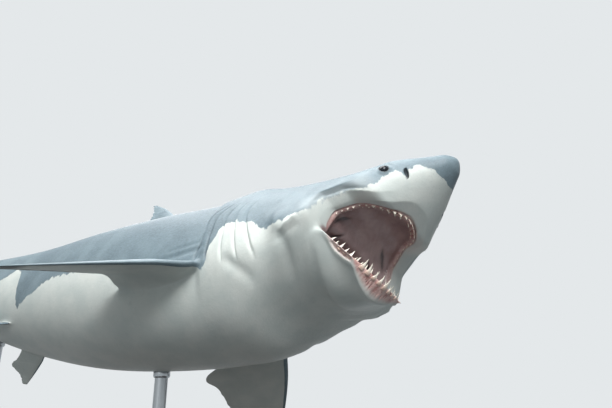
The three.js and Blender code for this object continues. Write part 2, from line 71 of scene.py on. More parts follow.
# Mouth: the line of the shut lips in side view, its corner and the jaw's hinge.
HINGE_S = 13.2
HINGE_Z = -3.9
LIP_SLOPE = 0.12
MOUTH_CORNER = 12.9
MOUTH_WALL = 1.0
CHEEK_SWELL = 1.6
CHEEK_RUN = (5.2, 9, 13, 18.5)
CHEEK_HEIGHTS = (-0.1, 1.1, 1.1, 4.8)
JAW_MUSCLE = 1.1
MUSCLE_RUN = (10.8, 13.6, 14.5, 19)
MUSCLE_HEIGHTS = (-8, -4.5, -3, 0.5)
GILL_FLARE = 0.35
FLARE_RUN = (17.5, 22, 25.9, 26.9)
FLARE_HEIGHTS = (-8.5, -4, 7.5, 9)
CHIN_RUN = (6.6, 8, 9, 16)
CHIN_FRONT = 7.65
CHIN_CURVE = 0.07
PALATE_RISE = 1.9
FLOOR_DROP = 1.0
CHIN_CLEARANCE = 4
THROAT_END = 18.4
SLIT = 0.006

# Pose, the same as the frame's.
GAPE = radians(74.7)
LIP_LIFT = 1.9
LIFT_RUN = (7, 10, 11.5, 13.3)
LIFT_REACH = 3.2
THROAT_SWELL = 0.55
SWELL_ANGLES = (8, 60, 85, 175)
SWING_ANGLES = (40, 180)
SWING_END = (16, 25)
HEAD_PITCH = radians(21.1)
HEAD_YAW = radians(-15.9)
TAIL_PITCH = radians(-1.7)
TAIL_YAW = radians(21.4)
HEAD_BEND = {"pitch": (8, 26), "yaw": (8, 30)}
TAIL_BEND = {"pitch": (35, 85), "yaw": (32, 85)}
BANK = radians(26.2)
TRUNK_PITCH = radians(1.6)
TRUNK_STATION = 30
TRUNK_PLACE = np.array([0.330, 0.030, 1.170])

# ---- small functions


def smooth(low, high, x):
    t = np.clip((x - low) / (high - low), 0, 1)
    return t * t * (3 - 2 * t)


def window(low, full, fall, end, x):
    """Rises from 0 to 1 over low..full and falls back over fall..end."""
    return smooth(low, full, x) * (1 - smooth(fall, end, x))


def bell(x):
    return np.exp(-(x**2))


def columns(*parts):
    """Points or directions from their parts, each a number or an array."""
    return np.stack(np.broadcast_arrays(*parts), axis=-1)


def whole_turn(count):
    """Angles of so many even steps round a circle."""
    return np.arange(count) * 2 * math.pi / count


def lengths(vectors):
    return np.linalg.norm(vectors, axis=-1)


def curve_through(xs, ys):
    """A smooth curve through the points (xs, ys)."""
    xs = np.array(xs, float)
    ys = np.array(ys, float)
    gaps = np.diff(xs)
    slopes = np.diff(ys) / gaps
    inner = (slopes[:-1] * gaps[1:] + slopes[1:] * gaps[:-1]) / (gaps[:-1] + gaps[1:])
    tangents = np.concatenate([slopes[:1], inner, slopes[-1:]])

    def curve(x):
        i = np.clip(np.searchsorted(xs, x, side="left") - 1, 0, len(gaps) - 1)
        t = np.clip((x - xs[i]) / gaps[i], 0, 1)
        a = (1 + 2 * t) * (1 - t) ** 2 * ys[i] + t * t * (3 - 2 * t) * ys[i + 1]
        b = t * (1 - t) ** 2 * tangents[i] - t * t * (1 - t) * tangents[i + 1]
        return a + b * gaps[i]

    return curve


top_line = curve_through(STATIONS, TOP)
bottom_line = curve_through(STATIONS, BOTTOM)
width_line = curve_through(STATIONS, WIDTH)


def lip_height(s):
    return HINGE_Z + LIP_SLOPE * (HINGE_S - s)


def lip_half_width(s):
    """Half width of the body where the shut lips meet its side."""
    ratio = np.minimum(-lip_height(s) / bottom_line(s), 1)
    return width_line(s) * (1 - ratio**ROUNDNESS_BOTTOM) ** (1 / ROUNDNESS_BOTTOM)


def body_points(s, angle):
    """Points of the body's surface at station s and angle round from the left side."""
    c = np.cos(angle)
    q = np.sin(angle)
    n = np.where(q > 0, ROUNDNESS_TOP, ROUNDNESS_BOTTOM)
    r = (np.abs(c) ** n + np.abs(q) ** n) ** (-1 / n)
    nose = np.sqrt(1 - (1 - np.minimum(s / SNOUT_ROUNDING, 1)) ** 2)
    height = np.where(q > 0, top_line(s), bottom_line(s))
    y = width_line(s) * nose * c * r
    z = height * nose * q * r
    over_lip = z - lip_height(s)
    cheek = CHEEK_SWELL * window(*CHEEK_RUN, s) * window(*CHEEK_HEIGHTS, over_lip)
    muscle = JAW_MUSCLE * window(*MUSCLE_RUN, s) * window(*MUSCLE_HEIGHTS, z)
    chin = CHIN_DEPTH * window(*CHIN_RUN, s) * np.maximum(-q, 0) ** 6
    flare = GILL_FLARE * window(*FLARE_RUN, s) * window(*FLARE_HEIGHTS, z)
    swell = np.sign(c) * np.minimum(np.abs(c) * 4, 1) * (cheek + muscle) + flare * c
    return columns(s, y + swell, z - chin + 0.7 * flare * q)


# ---- pose


def open_jaw(points, part="flesh", under=None):
    """
    Swings what lies below the lips about the hinge. The swing fades out round the back
    of the hinge, where the throat swells, and the upper lip is drawn up. under tells
    which points of the flesh belong below the lips.
    """
    s, y, z = points[..., 0], points[..., 1], points[..., 2]
    ahead = HINGE_S - s
    above = z - HINGE_Z
    over_lip = above - LIP_SLOPE * np.maximum(ahead, 0)
    flesh = (over_lip < 0 if under is None else under) & (part == "flesh")
    lowest = np.where(flesh, np.minimum(over_lip, -1e-6), over_lip)
    angle = -np.degrees(np.arctan2(lowest, ahead))
    in_front = 1 - smooth(*SWING_END, s)
    t = np.clip((angle - SWING_ANGLES[0]) / (SWING_ANGLES[1] - SWING_ANGLES[0]), 0, 1)
    share = np.where(flesh, (1 - (t + smooth(0, 1, t)) / 2) * in_front, float(part == "lower"))
    puff = THROAT_SWELL * window(*SWELL_ANGLES, angle) * in_front
    swell = np.where(flesh, 1 + puff, 1)
    turn = -GAPE * share
    cos = np.cos(turn) * swell
    sin = np.sin(turn) * swell
    lift = LIP_LIFT * window(*LIFT_RUN, s) * (1 - smooth(0, LIFT_REACH, over_lip))
    lift = np.where(flesh | (part == "lower"), 0, lift)
    back = HINGE_S - (ahead * cos - above * sin)
    return columns(back, y, HINGE_Z + ahead * sin + above * cos + lift)


SPINE_STEP = 0.25
SPINE_START = -6
SPINE_END = 106
spine_s = np.arange(SPINE_START, SPINE_END + SPINE_STEP / 2, SPINE_STEP)


def bent_spine():
    """The bent spine's place, left and up at every step along it."""
    def turned_by(head, tail, way):
        return (head * (1 - smooth(*HEAD_BEND[way], spine_s))
                + tail * smooth(*TAIL_BEND[way], spine_s))

    pitch = turned_by(HEAD_PITCH, TAIL_PITCH, "pitch")
    yaw = turned_by(HEAD_YAW, TAIL_YAW, "yaw")
    ahead = columns(np.cos(pitch) * np.cos(yaw), np.cos(pitch) * np.sin(yaw), np.sin(pitch))
    left = columns(-np.sin(yaw), np.cos(yaw), 0)
    up = np.cross(ahead, left)
    steps = -SPINE_STEP * (ahead[1:] + ahead[:-1]) / 2
    place = np.vstack([np.zeros(3), np.cumsum(steps, axis=0)])
    place -= place[round((TRUNK_STATION - SPINE_START) / SPINE_STEP)]
    return place, left, up


SPINE_PLACE, SPINE_LEFT, SPINE_UP = bent_spine()


def trunk_directions():
    """The trunk's three directions in the room: the bank lowers the left side."""
    ahead = np.array([math.cos(TRUNK_PITCH), 0, math.sin(TRUNK_PITCH)])
    level = np.array([0.0, 1.0, 0.0])
    over = np.cross(ahead, level)
    left = level * math.cos(BANK) - over * math.sin(BANK)
    up = over * math.cos(BANK) + level * math.sin(BANK)
    return np.stack([ahead, left, up])


TRUNK = trunk_directions()


def spine_at(table, s):
    at = (s - SPINE_START) / SPINE_STEP
    i = np.clip(np.floor(at).astype(int), 0, len(spine_s) - 2)
    mix = (at - i)[..., None]
    return table[i] * (1 - mix) + table[i + 1] * mix


def pose(points):
    """Points of the straight shark, in metres in the room."""
    s = points[..., 0]
    local = spine_at(SPINE_PLACE, s) + spine_at(SPINE_LEFT, s) * points[..., 1:2]
    local = local + spine_at(SPINE_UP, s) * points[..., 2:3]
    return local @ TRUNK * UNIT + TRUNK_PLACE


# ---- meshes


class Solid:
    """A closed mesh: its points, its faces and a few values kept at each point."""

    def __init__(self, points, faces, kind, along=None, across=None):
        self.points = np.asarray(points, np.float32).astype(float)
        self.faces = faces
        count = len(points)
        self.kind = np.full(count, kind)
        self.along = np.zeros(count) if along is None else along
        self.across = np.zeros(count) if across is None else across


KEPT_VALUES = ("kind", "along", "across")


def of_all(solids, name):
    """The points or values of several solids, in one array."""
    return np.concatenate([getattr(solid, name) for solid in solids])


def split_quads(quads):
    return np.vstack([quads[:, [0, 1, 2]], quads[:, [0, 2, 3]]])


def corners_of(points, faces):
    return (points[faces[:, k]] for k in range(3))


def volume(points, faces):
    a, b, c = corners_of(points, faces)
    return np.einsum("ij,ij->i", a, np.cross(b, c)).sum() / 6


def loft(rings, kind, along=None, across=None):
    """A closed loft through rings of equal length, with flat fans over its two ends."""
    rows, count = rings.shape[:2]
    index = np.arange(rows * count).reshape(rows, count)
    after = np.roll(index, -1, axis=1)
    quads = np.stack([index[:-1], after[:-1], after[1:], index[1:]], -1).reshape(-1, 4)
    first = rows * count
    fans = []
    for centre, ring, follow in ((first, after[0], index[0]), (first + 1, index[-1], after[-1])):
        fans.append(columns(centre, ring, follow))
    faces = np.vstack([split_quads(quads), *fans])
    points = np.vstack([rings.reshape(-1, 3), rings[0].mean(0), rings[-1].mean(0)])
    if volume(points, faces) < 0:
        faces = faces[:, ::-1]

    def with_ends(values):
        if values is None:
            return None
        values = np.broadcast_to(values, (rows, count))
        return np.concatenate([values.ravel(), [values[0].mean(), values[-1].mean()]])

    return Solid(points, faces, kind, with_ends(along), with_ends(across))


def mesh_from(name, points, faces):
    mesh = bpy.data.meshes.new(name)
    mesh.vertices.add(len(points))
    mesh.vertices.foreach_set("co", np.asarray(points, np.float32).ravel())
    mesh.loops.add(faces.size)
    mesh.loops.foreach_set("vertex_index", faces.astype(np.int32).ravel())
    mesh.polygons.add(len(faces))
    mesh.polygons.foreach_set("loop_start", np.arange(0, faces.size, 3, dtype=np.int32))
    mesh.update(calc_edges=True)
    mesh.validate()
    return mesh


def linked(name, data):
    """A new object in the scene."""
    thing = bpy.data.objects.new(name, data)
    bpy.context.scene.collection.objects.link(thing)
    return thing


def add_object(name, points, faces, material=None):
    mesh = mesh_from(name, points, faces)
    thing = linked(name, mesh)
    if material is not None:
        mesh.materials.append(material)
    mesh.shade_smooth()
    return thing


def keep_values(thing, name, values, field="value"):
    """Values at an object's points, for its material to read."""
    kind = "FLOAT_VECTOR" if field == "vector" else "FLOAT"
    layer = thing.data.attributes.new(name, kind, "POINT")
    layer.data.foreach_set(field, np.asarray(values, np.float32).ravel())


KEY_STEPS = 4000
KEY_BITS = 21


def point_keys(points):
    """One number for each place, for telling which points a cut or join has kept."""
    whole = np.round(points * KEY_STEPS).astype(np.int64) + 2 ** (KEY_BITS - 2)
    return (whole[:, 0] << 2 * KEY_BITS) | (whole[:, 1] << KEY_BITS) | whole[:, 2]


NEW = -1


def combined(base, steps):
    """The base solid with each (operation, solid) applied, its points' values kept."""
    target = add_object("base", base.points, base.faces)
    scratch = [target]
    for operation, solid in steps:
        cutter = add_object("cutter", solid.points, solid.faces)
        modifier = target.modifiers.new(operation, "BOOLEAN")
        modifier.operation = operation
        modifier.solver = "MANIFOLD"
        modifier.object = cutter
        scratch.append(cutter)
    graph = bpy.context.evaluated_depsgraph_get()
    mesh = bpy.data.meshes.new_from_object(target.evaluated_get(graph))
    points, faces = arrays_of(mesh)
    bpy.data.meshes.remove(mesh)
    for thing in scratch:
        bpy.data.meshes.remove(thing.data)
    result = Solid(points, faces, NEW)
    solids = [base] + [solid for _, solid in steps]
    keys = point_keys(of_all(solids, "points"))
    order = np.argsort(keys, kind="stable")
    found = np.searchsorted(keys[order], point_keys(points))
    found = order[np.minimum(found, len(order) - 1)]
    same = keys[found] == point_keys(points)
    for name in KEPT_VALUES:
        getattr(result, name)[same] = of_all(solids, name)[found][same]
    return result


def arrays_of(mesh):
    points = np.empty(len(mesh.vertices) * 3, np.float32)
    mesh.vertices.foreach_get("co", points)
    mesh.calc_loop_triangles()
    faces = np.empty(len(mesh.loop_triangles) * 3, np.int32)
    mesh.loop_triangles.foreach_get("vertices", faces)
    return points.reshape(-1, 3).astype(float), faces.reshape(-1, 3)


def edges_of(faces):
    pairs = np.vstack([faces[:, [0, 1]], faces[:, [1, 2]], faces[:, [2, 0]]])
    return np.unique(np.sort(pairs, axis=1), axis=0)


def averaged(values, edges, count):
    """Each point's mean over its neighbours."""
    a, b = edges[:, 0], edges[:, 1]
    ends = np.concatenate([a, b])
    others = np.concatenate([b, a])
    share = np.maximum(np.bincount(ends, minlength=count), 1)
    parts = values.reshape(count, -1).T
    sums = [np.bincount(ends, weights=part[others], minlength=count) for part in parts]
    return (np.stack(sums, 1) / share[:, None]).reshape(values.shape)


PULL = 0.6


def relaxed(points, edges, weight, rounds):
    """Points drawn towards their neighbours' mean, as far as their weight allows."""
    near = weight > 1e-3
    touched = near[edges[:, 0]] | near[edges[:, 1]]
    used = np.unique(edges[touched])
    place = np.full(len(points), -1)
    place[used] = np.arange(len(used))
    local = place[edges[touched]]
    moving = points[used].copy()
    pull = (PULL * weight[used])[:, None]
    for _ in range(rounds):
        moving += pull * (averaged(moving, local, len(used)) - moving)
    result = points.copy()
    result[used] = moving
    return result


def spread(values, edges, rounds):
    """Values at the points, softened over their neighbours."""
    for _ in range(rounds):
        values = (values + averaged(values, edges, len(values))) / 2
    return values


def distance_to(points, targets):
    """Distance from each point to the nearest target."""
    tree = KDTree(len(targets))
    for i, target in enumerate(targets):
        tree.insert(target, i)
    tree.balance()
    return np.array([tree.find(point)[2] for point in points])


def normals_of(points, faces):
    a, b, c = corners_of(points, faces)
    flat = np.cross(b - a, c - a)
    total = np.zeros_like(points)
    for k in range(3):
        for axis in range(3):
            total[:, axis] += np.bincount(faces[:, k], flat[:, axis], minlength=len(points))
    return total / np.maximum(lengths(total), 1e-12)[:, None]


# ---- body and mouth

BODY, UPPER, LOWER, EYE, NOSTRIL, FIN = range(6)


def spaced(*runs):
    """Stations from (start, end, step) runs that follow one another."""
    parts = [np.arange(start, end - step / 2, step) for start, end, step in runs]
    return np.append(np.concatenate(parts), runs[-1][1])


RING = 336


def body_solid():
    tip = SNOUT_ROUNDING * (1 - np.cos(np.linspace(0.05, math.pi / 2, 16)))
    stations = np.concatenate([tip[:-1], spaced(
        (SNOUT_ROUNDING, 14, 0.09), (14, 20, 0.12), (20, 27.4, 0.065), (27.4, 34, 0.16),
        (34, 78, 0.28), (78, BODY_END, 0.2))])
    s, angle = np.meshgrid(stations, whole_turn(RING), indexing="ij")
    return loft(body_points(s, angle), BODY, s, angle)


def arch_half_width(s):
    """Half width in plan of the upper jaw's arch, which is rounded in front."""
    front, reach = 6.3, 2.2
    ahead = 1 - np.clip((s - front) / reach, 0, 1)
    return lip_half_width(np.minimum(s, MOUTH_CORNER)) * np.sqrt(1 - ahead**2)


def plan_distance(half_width, s, y):
    """Distance in from the line |y| = half_width(s), negative outside it."""
    step = 0.05
    square = half_width(s) ** 2
    slope = (half_width(s + step) ** 2 - half_width(s - step) ** 2) / (2 * step)
    return (square - y * y) / (2 * np.sqrt((slope / 2) ** 2 + y * y + 1e-4))


def upper_depth(s, y):
    """How far inside the upper lip a place of the palate lies."""
    return plan_distance(arch_half_width, s, y)


CORNER_SHARPNESS = 5


def lower_depth(s, y):
    """How far inside the rim of the lower jaw a place of the mouth's floor lies."""
    sides = plan_distance(lambda at: lip_half_width(np.minimum(at, MOUTH_CORNER)), s, y)
    front = (s - CHIN_FRONT - CHIN_CURVE * y * y) / np.sqrt(1 + (2 * CHIN_CURVE * y) ** 2)
    gap = np.clip(np.abs(sides - front), 0, 20)
    rounding = np.log1p(np.exp(-gap * CORNER_SHARPNESS)) / CORNER_SHARPNESS
    return np.minimum(sides, front) - rounding


def dome(v):
    return np.sqrt(np.maximum(1 - v * v, 0))


MOUTH_START = 5.3
MOUTH_FADE = (12, 12.8)
PALATE_RUN = (6.6, 9.5)
FLOOR_RUN = (8, 9.4)
LIP_FOLD = 0.2
UPPER_GUM = 0.3
LOWER_GUM = 0.35
TONGUE = 0.55
TONGUE_RUN = (9.2, 11.2)
PALATE_FOLDS = 0.035


def mouth_ring(s):
    """Section of the space between the shut lips at station s, first above and then below."""
    back = max(s - MOUTH_CORNER, 0) / (THROAT_END - MOUTH_CORNER)
    end = math.sqrt(max(1 - back**2.5, 0))
    lip = float(lip_half_width(min(s, MOUTH_CORNER)))
    half = max((lip - MOUTH_WALL) * (0.35 + 0.65 * end), 0.1)
    outer = np.linspace(0, 1, 26)[1:]
    beside = outer * (lip + 0.35 - half) if s <= MOUTH_CORNER else outer * 0.01
    beside = half + np.append(beside, beside[-1] + (10 if s <= MOUTH_CORNER else 0.001))
    y = np.concatenate([-beside[::-1], np.linspace(-1, 1, 141) * half, beside])
    arch = dome(np.clip(y / half, -1, 1))
    fade = 1 - smooth(*MOUTH_FADE, s)
    above, below = upper_depth(s, y), lower_depth(s, y)

    rise = PALATE_RISE * smooth(*PALATE_RUN, s) * end + 0.05 * back
    fold = LIP_FOLD * bell((above - 0.36) / 0.07)
    gum = UPPER_GUM * smooth(0.72, 1.2, above) * smooth(6.6, 8, s)
    ridges = PALATE_FOLDS * np.sin(above * 9) * smooth(1.2, 1.8, above) * smooth(8, 9.5, s)
    upper = lip_height(s) + SLIT + rise * arch + fade * (fold + gum) + ridges * end * fade

    drop = FLOOR_DROP * (1 + 1.2 * back) * smooth(*FLOOR_RUN, s) * end + 0.05 * back
    front = CHIN_FRONT + CHIN_CURVE * np.minimum(np.abs(y), lip) ** 2
    ahead = CHIN_CLEARANCE * (1 - smooth(front - 0.12, front + 0.12, s))
    gum = LOWER_GUM * smooth(0.65, 1.25, below) * fade
    tongue = TONGUE * smooth(*TONGUE_RUN, s) * end * np.exp(-((y / max(0.45 * lip, 0.5)) ** 4))
    lower = lip_height(s) - SLIT - ahead - gum + (tongue - drop) * arch

    return np.vstack([columns(s, y, upper), columns(s, y, lower)[::-1]])


def mouth_solid():
    """The space between the shut lips, with palate, gums, floor and throat."""
    stations = np.concatenate([
        spaced((MOUTH_START, 7.3, 0.1), (7.3, 10.2, 0.05), (10.2, MOUTH_CORNER, 0.08)),
        spaced((MOUTH_CORNER + 0.01, THROAT_END, 0.09))])
    rings = np.array([mouth_ring(s) for s in stations])
    count = rings.shape[1]
    solid = loft(rings, UPPER)
    solid.kind[:-2][np.tile(np.arange(count) >= count // 2, len(rings))] = LOWER
    return solid


# ---- eyes and nostrils

EYE_S = 5.9
EYE_Z = -0.4
EYE_RADIUS = 0.52
EYE_OUT = 0.21
SOCKET_GAP = 0.015
LID_GAP = 0.004


def eye_centre(side):
    skin = body_points(np.array(EYE_S), np.arctan2(EYE_Z, width_line(EYE_S)))
    return np.array([EYE_S, side * (skin[1] - EYE_RADIUS + EYE_OUT), EYE_Z])


def ball(centre, radius, kind, rows=40, count=64):
    """A ball whose poles point sideways."""
    turn = np.linspace(0, math.pi, rows + 2)[1:-1, None]
    round_ = whole_turn(count)
    ring = np.sin(turn) * radius
    shape = columns(ring * np.cos(round_), radius * np.cos(turn), ring * np.sin(round_))
    return loft(centre + shape, kind)


# Path of the nostril's slit on the snout's side, as stations and heights.
NOSTRIL_PATH = [(4.08, -0.85), (4.22, -1.12), (4.30, -1.42), (4.42, -1.72), (4.6, -1.9)]
NOSTRIL_OUT = np.array([-0.38, 0.8, -0.45])
NOSTRIL_WIDTH = 0.2
NOSTRIL_DEPTH = 0.42


def side_width(s, z):
    """Half width of the body at station s and height z, from its section's own curve."""
    height = np.where(z > 0, top_line(s), bottom_line(s))
    n = np.where(z > 0, ROUNDNESS_TOP, ROUNDNESS_BOTTOM)
    ratio = np.minimum(np.abs(z) / height, 0.999)
    return width_line(s) * (1 - ratio**n) ** (1 / n)


def nostril_solid(side):
    """A curved lens that cuts the nostril's slit."""
    path = np.array(NOSTRIL_PATH)
    steps = np.linspace(0, 1, 33)
    knots = np.linspace(0, 1, len(path))
    s = curve_through(knots, path[:, 0])(steps)
    z = curve_through(knots, path[:, 1])(steps)
    width = side_width(s, z)
    middle = columns(s, width, z)
    run = np.gradient(middle, axis=0)
    run /= lengths(run)[:, None]
    out = NOSTRIL_OUT - (run @ NOSTRIL_OUT)[:, None] * run
    out /= lengths(out)[:, None]
    across = np.cross(run, out)
    lens = np.sin(math.pi * np.clip(steps, 0.02, 0.98))
    wide = NOSTRIL_WIDTH * lens**0.6 * (1.25 - 0.6 * steps)
    deep = NOSTRIL_DEPTH * lens**0.5
    angles = whole_turn(24)
    rings = (middle[:, None]
             + across[:, None] * (wide[:, None] * np.cos(angles))[..., None]
             + out[:, None] * (deep[:, None] * np.sin(angles))[..., None])
    rings[..., 1] *= side
    return loft(rings, NOSTRIL)


# ---- fins

EDGE_THICKNESS = 0.045
RAGGED_WAVES = (61, 97, 153)
FIN_NAMES = [
    "pectoral_left", "pectoral_right", "pelvic_left", "pelvic_right", "first_dorsal",
    "second_dorsal", "anal_fin", "caudal_upper", "caudal_lower",
]


def fin_kind(name):
    return FIN + FIN_NAMES.index(name)


def foil(x):
    """Half thickness of a fin's section at x from its front (0) to its rear edge (1)."""
    return 5 * (0.2969 * np.sqrt(x) - 0.126 * x - 0.3516 * x**2 + 0.2843 * x**3 - 0.1036 * x**4)


def fin(kind, root, out, chord_at, span, front, rear, thickness, steps=90, ragged=0.06):
    """A fin from its root to its tip; chord_at(t) is the way its chord runs back."""
    t = (1 - np.cos(np.linspace(0, math.pi / 2, steps))) * 0.35 + np.linspace(0, 1, steps) * 0.65
    chord_steps = (1 - np.cos(np.linspace(0, math.pi, 36))) / 2
    lead = front(t)
    wave = sum(np.sin(t * often + k * kind) for k, often in enumerate(RAGGED_WAVES, 1))
    chord = np.maximum(rear(t) - lead + ragged * wave * smooth(0.25, 0.45, t), 0.14)
    aft = chord_at(t)
    normal = np.cross(out, aft)
    normal /= lengths(normal)[:, None]
    base = root + out * (span * t)[:, None]
    rings = []
    for sign, xs in ((1, chord_steps), (-1, chord_steps[-2:0:-1])):
        half = foil(xs) * thickness(t)[:, None] * chord[:, None]
        edge = EDGE_THICKNESS / 2 * np.minimum(xs / 0.02, 1)
        half = np.maximum(half, edge)
        place = base[:, None] + aft[:, None] * (lead[:, None] + chord[:, None] * xs)[..., None]
        rings.append(place + normal[:, None] * (sign * half)[..., None])
    across = np.concatenate([chord_steps, -chord_steps[-2:0:-1]])
    return loft(np.concatenate(rings, axis=1), kind, t[:, None], across[None])


def side_fin_plane(side, sweep, droop, pitch, root_pitch=None):
    """Directions of a side fin: swept, then drooped, then pitched about its own length."""
    root_pitch = pitch if root_pitch is None else root_pitch

    def lower(x, y):
        return np.array([x, y * math.cos(droop), -y * side * math.sin(droop)])

    out = lower(math.sin(sweep), side * math.cos(sweep))
    level = lower(math.cos(sweep), -side * math.sin(sweep))
    normal = np.array([0, side * math.sin(droop), math.cos(droop)])

    def chord_at(t):
        angle = (pitch + (root_pitch - pitch) * (1 - smooth(0.12, 0.36, t)))[:, None]
        return level * np.cos(angle) - normal * np.sin(angle)

    return out, chord_at


PECTORAL_SPAN = 17.4
PECTORAL_INNER = 0.16
pectoral_front = curve_through([0, 0.25, 0.5, 0.75, 1], [0, 1.7, 3.9, 6.5, 9.6])
pectoral_rear = curve_through(
    [0, 0.05, 0.1, 0.2, 0.35, 0.6, 0.8, 1], [8.2, 10.4, 11.2, 10.8, 10.6, 10.2, 10.2, 10.3])


def pectoral(kind, side, root, **angles):
    out, chord_at = side_fin_plane(side, **angles)
    inner = PECTORAL_INNER
    start = np.array([root[0], side * root[1], root[2]])

    def outside(edge):
        return lambda t: edge(np.maximum(t * (1 + inner) - inner, 0))

    return fin(
        kind, start - out * (inner * PECTORAL_SPAN), out, chord_at, PECTORAL_SPAN * (1 + inner),
        outside(pectoral_front), outside(pectoral_rear), lambda t: 0.13 - 0.05 * t,
        steps=150, ragged=0.035)


def pelvic(kind, side):
    out, chord_at = side_fin_plane(side, radians(8), radians(38), radians(4))
    return fin(
        kind, np.array([55.3, side * 2.6, -5.6]), out, chord_at, 6.2,
        lambda t: 0.4 + 3.6 * t**1.2,
        curve_through([0, 0.45, 0.6, 0.8, 1], [4.6, 5.4, 6.2, 5.0, 4.6]),
        lambda t: 0.1 + 0 * t, steps=70, ragged=0.03)


def mid_fin(kind, s, z, up, span, front, rear, thickness, **more):
    """An upright fin on the midline; up is 1 on the back and -1 on the belly."""
    return fin(
        kind, np.array([s, 0, z]), np.array([0, 0, up]),
        lambda t: np.tile([1.0, 0, 0], (len(t), 1)), span, front, rear, thickness, **more)


def small_mid_fin(kind, s, z, up):
    return mid_fin(
        kind, s, z, up, 3.6,
        curve_through([0, 0.4, 0.8, 1], [0, 0.9, 2.0, 2.8]),
        curve_through([0, 0.5, 0.65, 0.85, 1], [1.9, 3.0, 4.0, 3.1, 3.1]),
        lambda t: 0.12 + 0 * t, steps=50, ragged=0.02)


def fin_solids():
    lobe_steps = [0, 0.1, 0.35, 0.65, 0.9, 1]
    return [
        pectoral(fin_kind("pectoral_left"), 1, [24.9, 7.98, -4.3], sweep=radians(-3.4),
                 droop=radians(22), pitch=radians(7.8), root_pitch=radians(15)),
        pectoral(fin_kind("pectoral_right"), -1, [25.72, 8.05, -4.53], sweep=radians(10),
                 droop=radians(34.5), pitch=radians(-0.5), root_pitch=radians(15)),
        pelvic(fin_kind("pelvic_left"), 1),
        pelvic(fin_kind("pelvic_right"), -1),
        mid_fin(fin_kind("first_dorsal"), 37.6, 7.0, 1, 9.2,
                curve_through([0, 0.25, 0.6, 0.9, 1], [0, 1.3, 4.6, 8.0, 9.8]),
                curve_through([0, 0.2, 0.3, 0.42, 0.7, 0.9, 1],
                              [9.6, 11.2, 12.2, 10.6, 9.6, 9.9, 10.4]),
                lambda t: 0.12 - 0.04 * t, steps=120, ragged=0.05),
        small_mid_fin(fin_kind("second_dorsal"), 73.6, 2.2, 1),
        small_mid_fin(fin_kind("anal_fin"), 74.6, -2.2, -1),
        mid_fin(fin_kind("caudal_upper"), 0, -0.35, 1, 16.35,
                curve_through(lobe_steps, [83.4, 83.8, 87.0, 92.0, 97.0, 99.5]),
                curve_through([0, 0.25, 0.55, 0.78, 0.85, 0.89, 1],
                              [90.9, 91.7, 94.7, 97.9, 98.1, 99.1, 100]),
                lambda t: 0.14 - 0.06 * t, steps=130, ragged=0.03),
        mid_fin(fin_kind("caudal_lower"), 0, 0.35, -1, 14.65,
                curve_through(lobe_steps, [84.2, 84.6, 87.4, 90.8, 93.9, 95.6]),
                curve_through([0, 0.25, 0.55, 0.85, 1], [90.9, 91.3, 92.7, 95.2, 96.1]),
                lambda t: 0.14 - 0.06 * t, steps=120, ragged=0.03),
    ]


# ---- skin


def gathered(solids):
    """Several solids that stay apart, as one."""
    starts = np.cumsum([0] + [len(solid.points) for solid in solids])
    faces = np.vstack([solid.faces + start for solid, start in zip(solids, starts)])
    result = Solid(of_all(solids, "points"), faces, NEW)
    for name in KEPT_VALUES:
        setattr(result, name, of_all(solids, name))
    return result


def joined_skin():
    """The body with mouth, eye sockets and nostrils cut, and the fins joined on."""
    cuts = [mouth_solid()]
    for side in (1, -1):
        cuts += [ball(eye_centre(side), EYE_RADIUS + SOCKET_GAP, EYE), nostril_solid(side)]
    fins = fin_solids()
    return combined(body_solid(), [
        ("DIFFERENCE", gathered(cuts)), ("UNION", gathered(fins[:-1])), ("UNION", fins[-1])])


def seam_kinds(skin, edges):
    """For each new point, the highest kind of solid that meets there."""
    kinds = skin.kind.copy()
    new = skin.kind == NEW
    both = np.vstack([edges, edges[:, ::-1]])
    both = both[new[both[:, 0]]]
    for _ in range(4):
        best = kinds.copy()
        np.maximum.at(best, both[:, 0], kinds[both[:, 1]])
        kinds = np.where(new, best, kinds)
    return np.where(new, kinds, NEW)


def near_seam(skin, seams, low, high, reach):
    """Distance from each point to the seams whose kind lies in low..high, up to reach."""
    targets = skin.points[(seams >= low) & (seams <= high)]
    distance = np.full(len(skin.points), 99.0)
    if len(targets):
        inside = np.all((skin.points > targets.min(0) - reach)
                        & (skin.points < targets.max(0) + reach), axis=1)
        distance[inside] = distance_to(skin.points[inside], targets)
    return distance


# Each gill slit: its station on the side, how far its foot leans ahead, and its depth.
GILL_SLITS = [(20.5, 0.24, 0.2), (21.95, 0.16, 0.22), (23.4, 0.06, 0.32), (25.0, -0.06, 0.6),
              (26.15, -0.28, 0.62)]
GILL_FOOT = -5.3
GILL_HEAD = 1.6
FLAP_RISE = 0.16


def gill_relief(s, z):
    """Five slits on each side, each behind a low flap, with soft swellings between."""
    relief = np.zeros_like(s)
    for i, (start, lean, depth) in enumerate(GILL_SLITS):
        path = start - lean * np.maximum(-0.7 - z, 0) - 0.22 * np.maximum(z + 0.3, 0) ** 2
        low, high = GILL_FOOT + 0.3 * i, GILL_HEAD + 0.22 * i
        run = window(low - 0.5, low + 1.3, high - 1.3, high + 0.4, z)
        u = s - path
        flap = FLAP_RISE * depth * bell(u / 0.5)
        fall = bell(np.maximum(u - 0.1, 0) / 0.26)
        groove = (FLAP_RISE * depth - (FLAP_RISE + 1) * depth * smooth(0, 0.1, u)) * fall
        faint = 1 - 0.6 * (i < 3) * smooth(-1.2, 0.6, z)
        relief += run * faint * np.where(u < 0, flap, groove)
    return relief


# Each soft fold: station and height of its two ends, its width and its depth.
FOLDS = [(16.9, -3.6, 15.7, -6.6, 0.6, 0.26), (22.9, -4.7, 19.9, -7.1, 0.55, 0.2),
         (26.0, -2.7, 33.5, -3.6, 0.3, 0.12), (26.5, -1.9, 31.0, -2.5, 0.22, 0.06)]
FOLD_FADE = 0.8


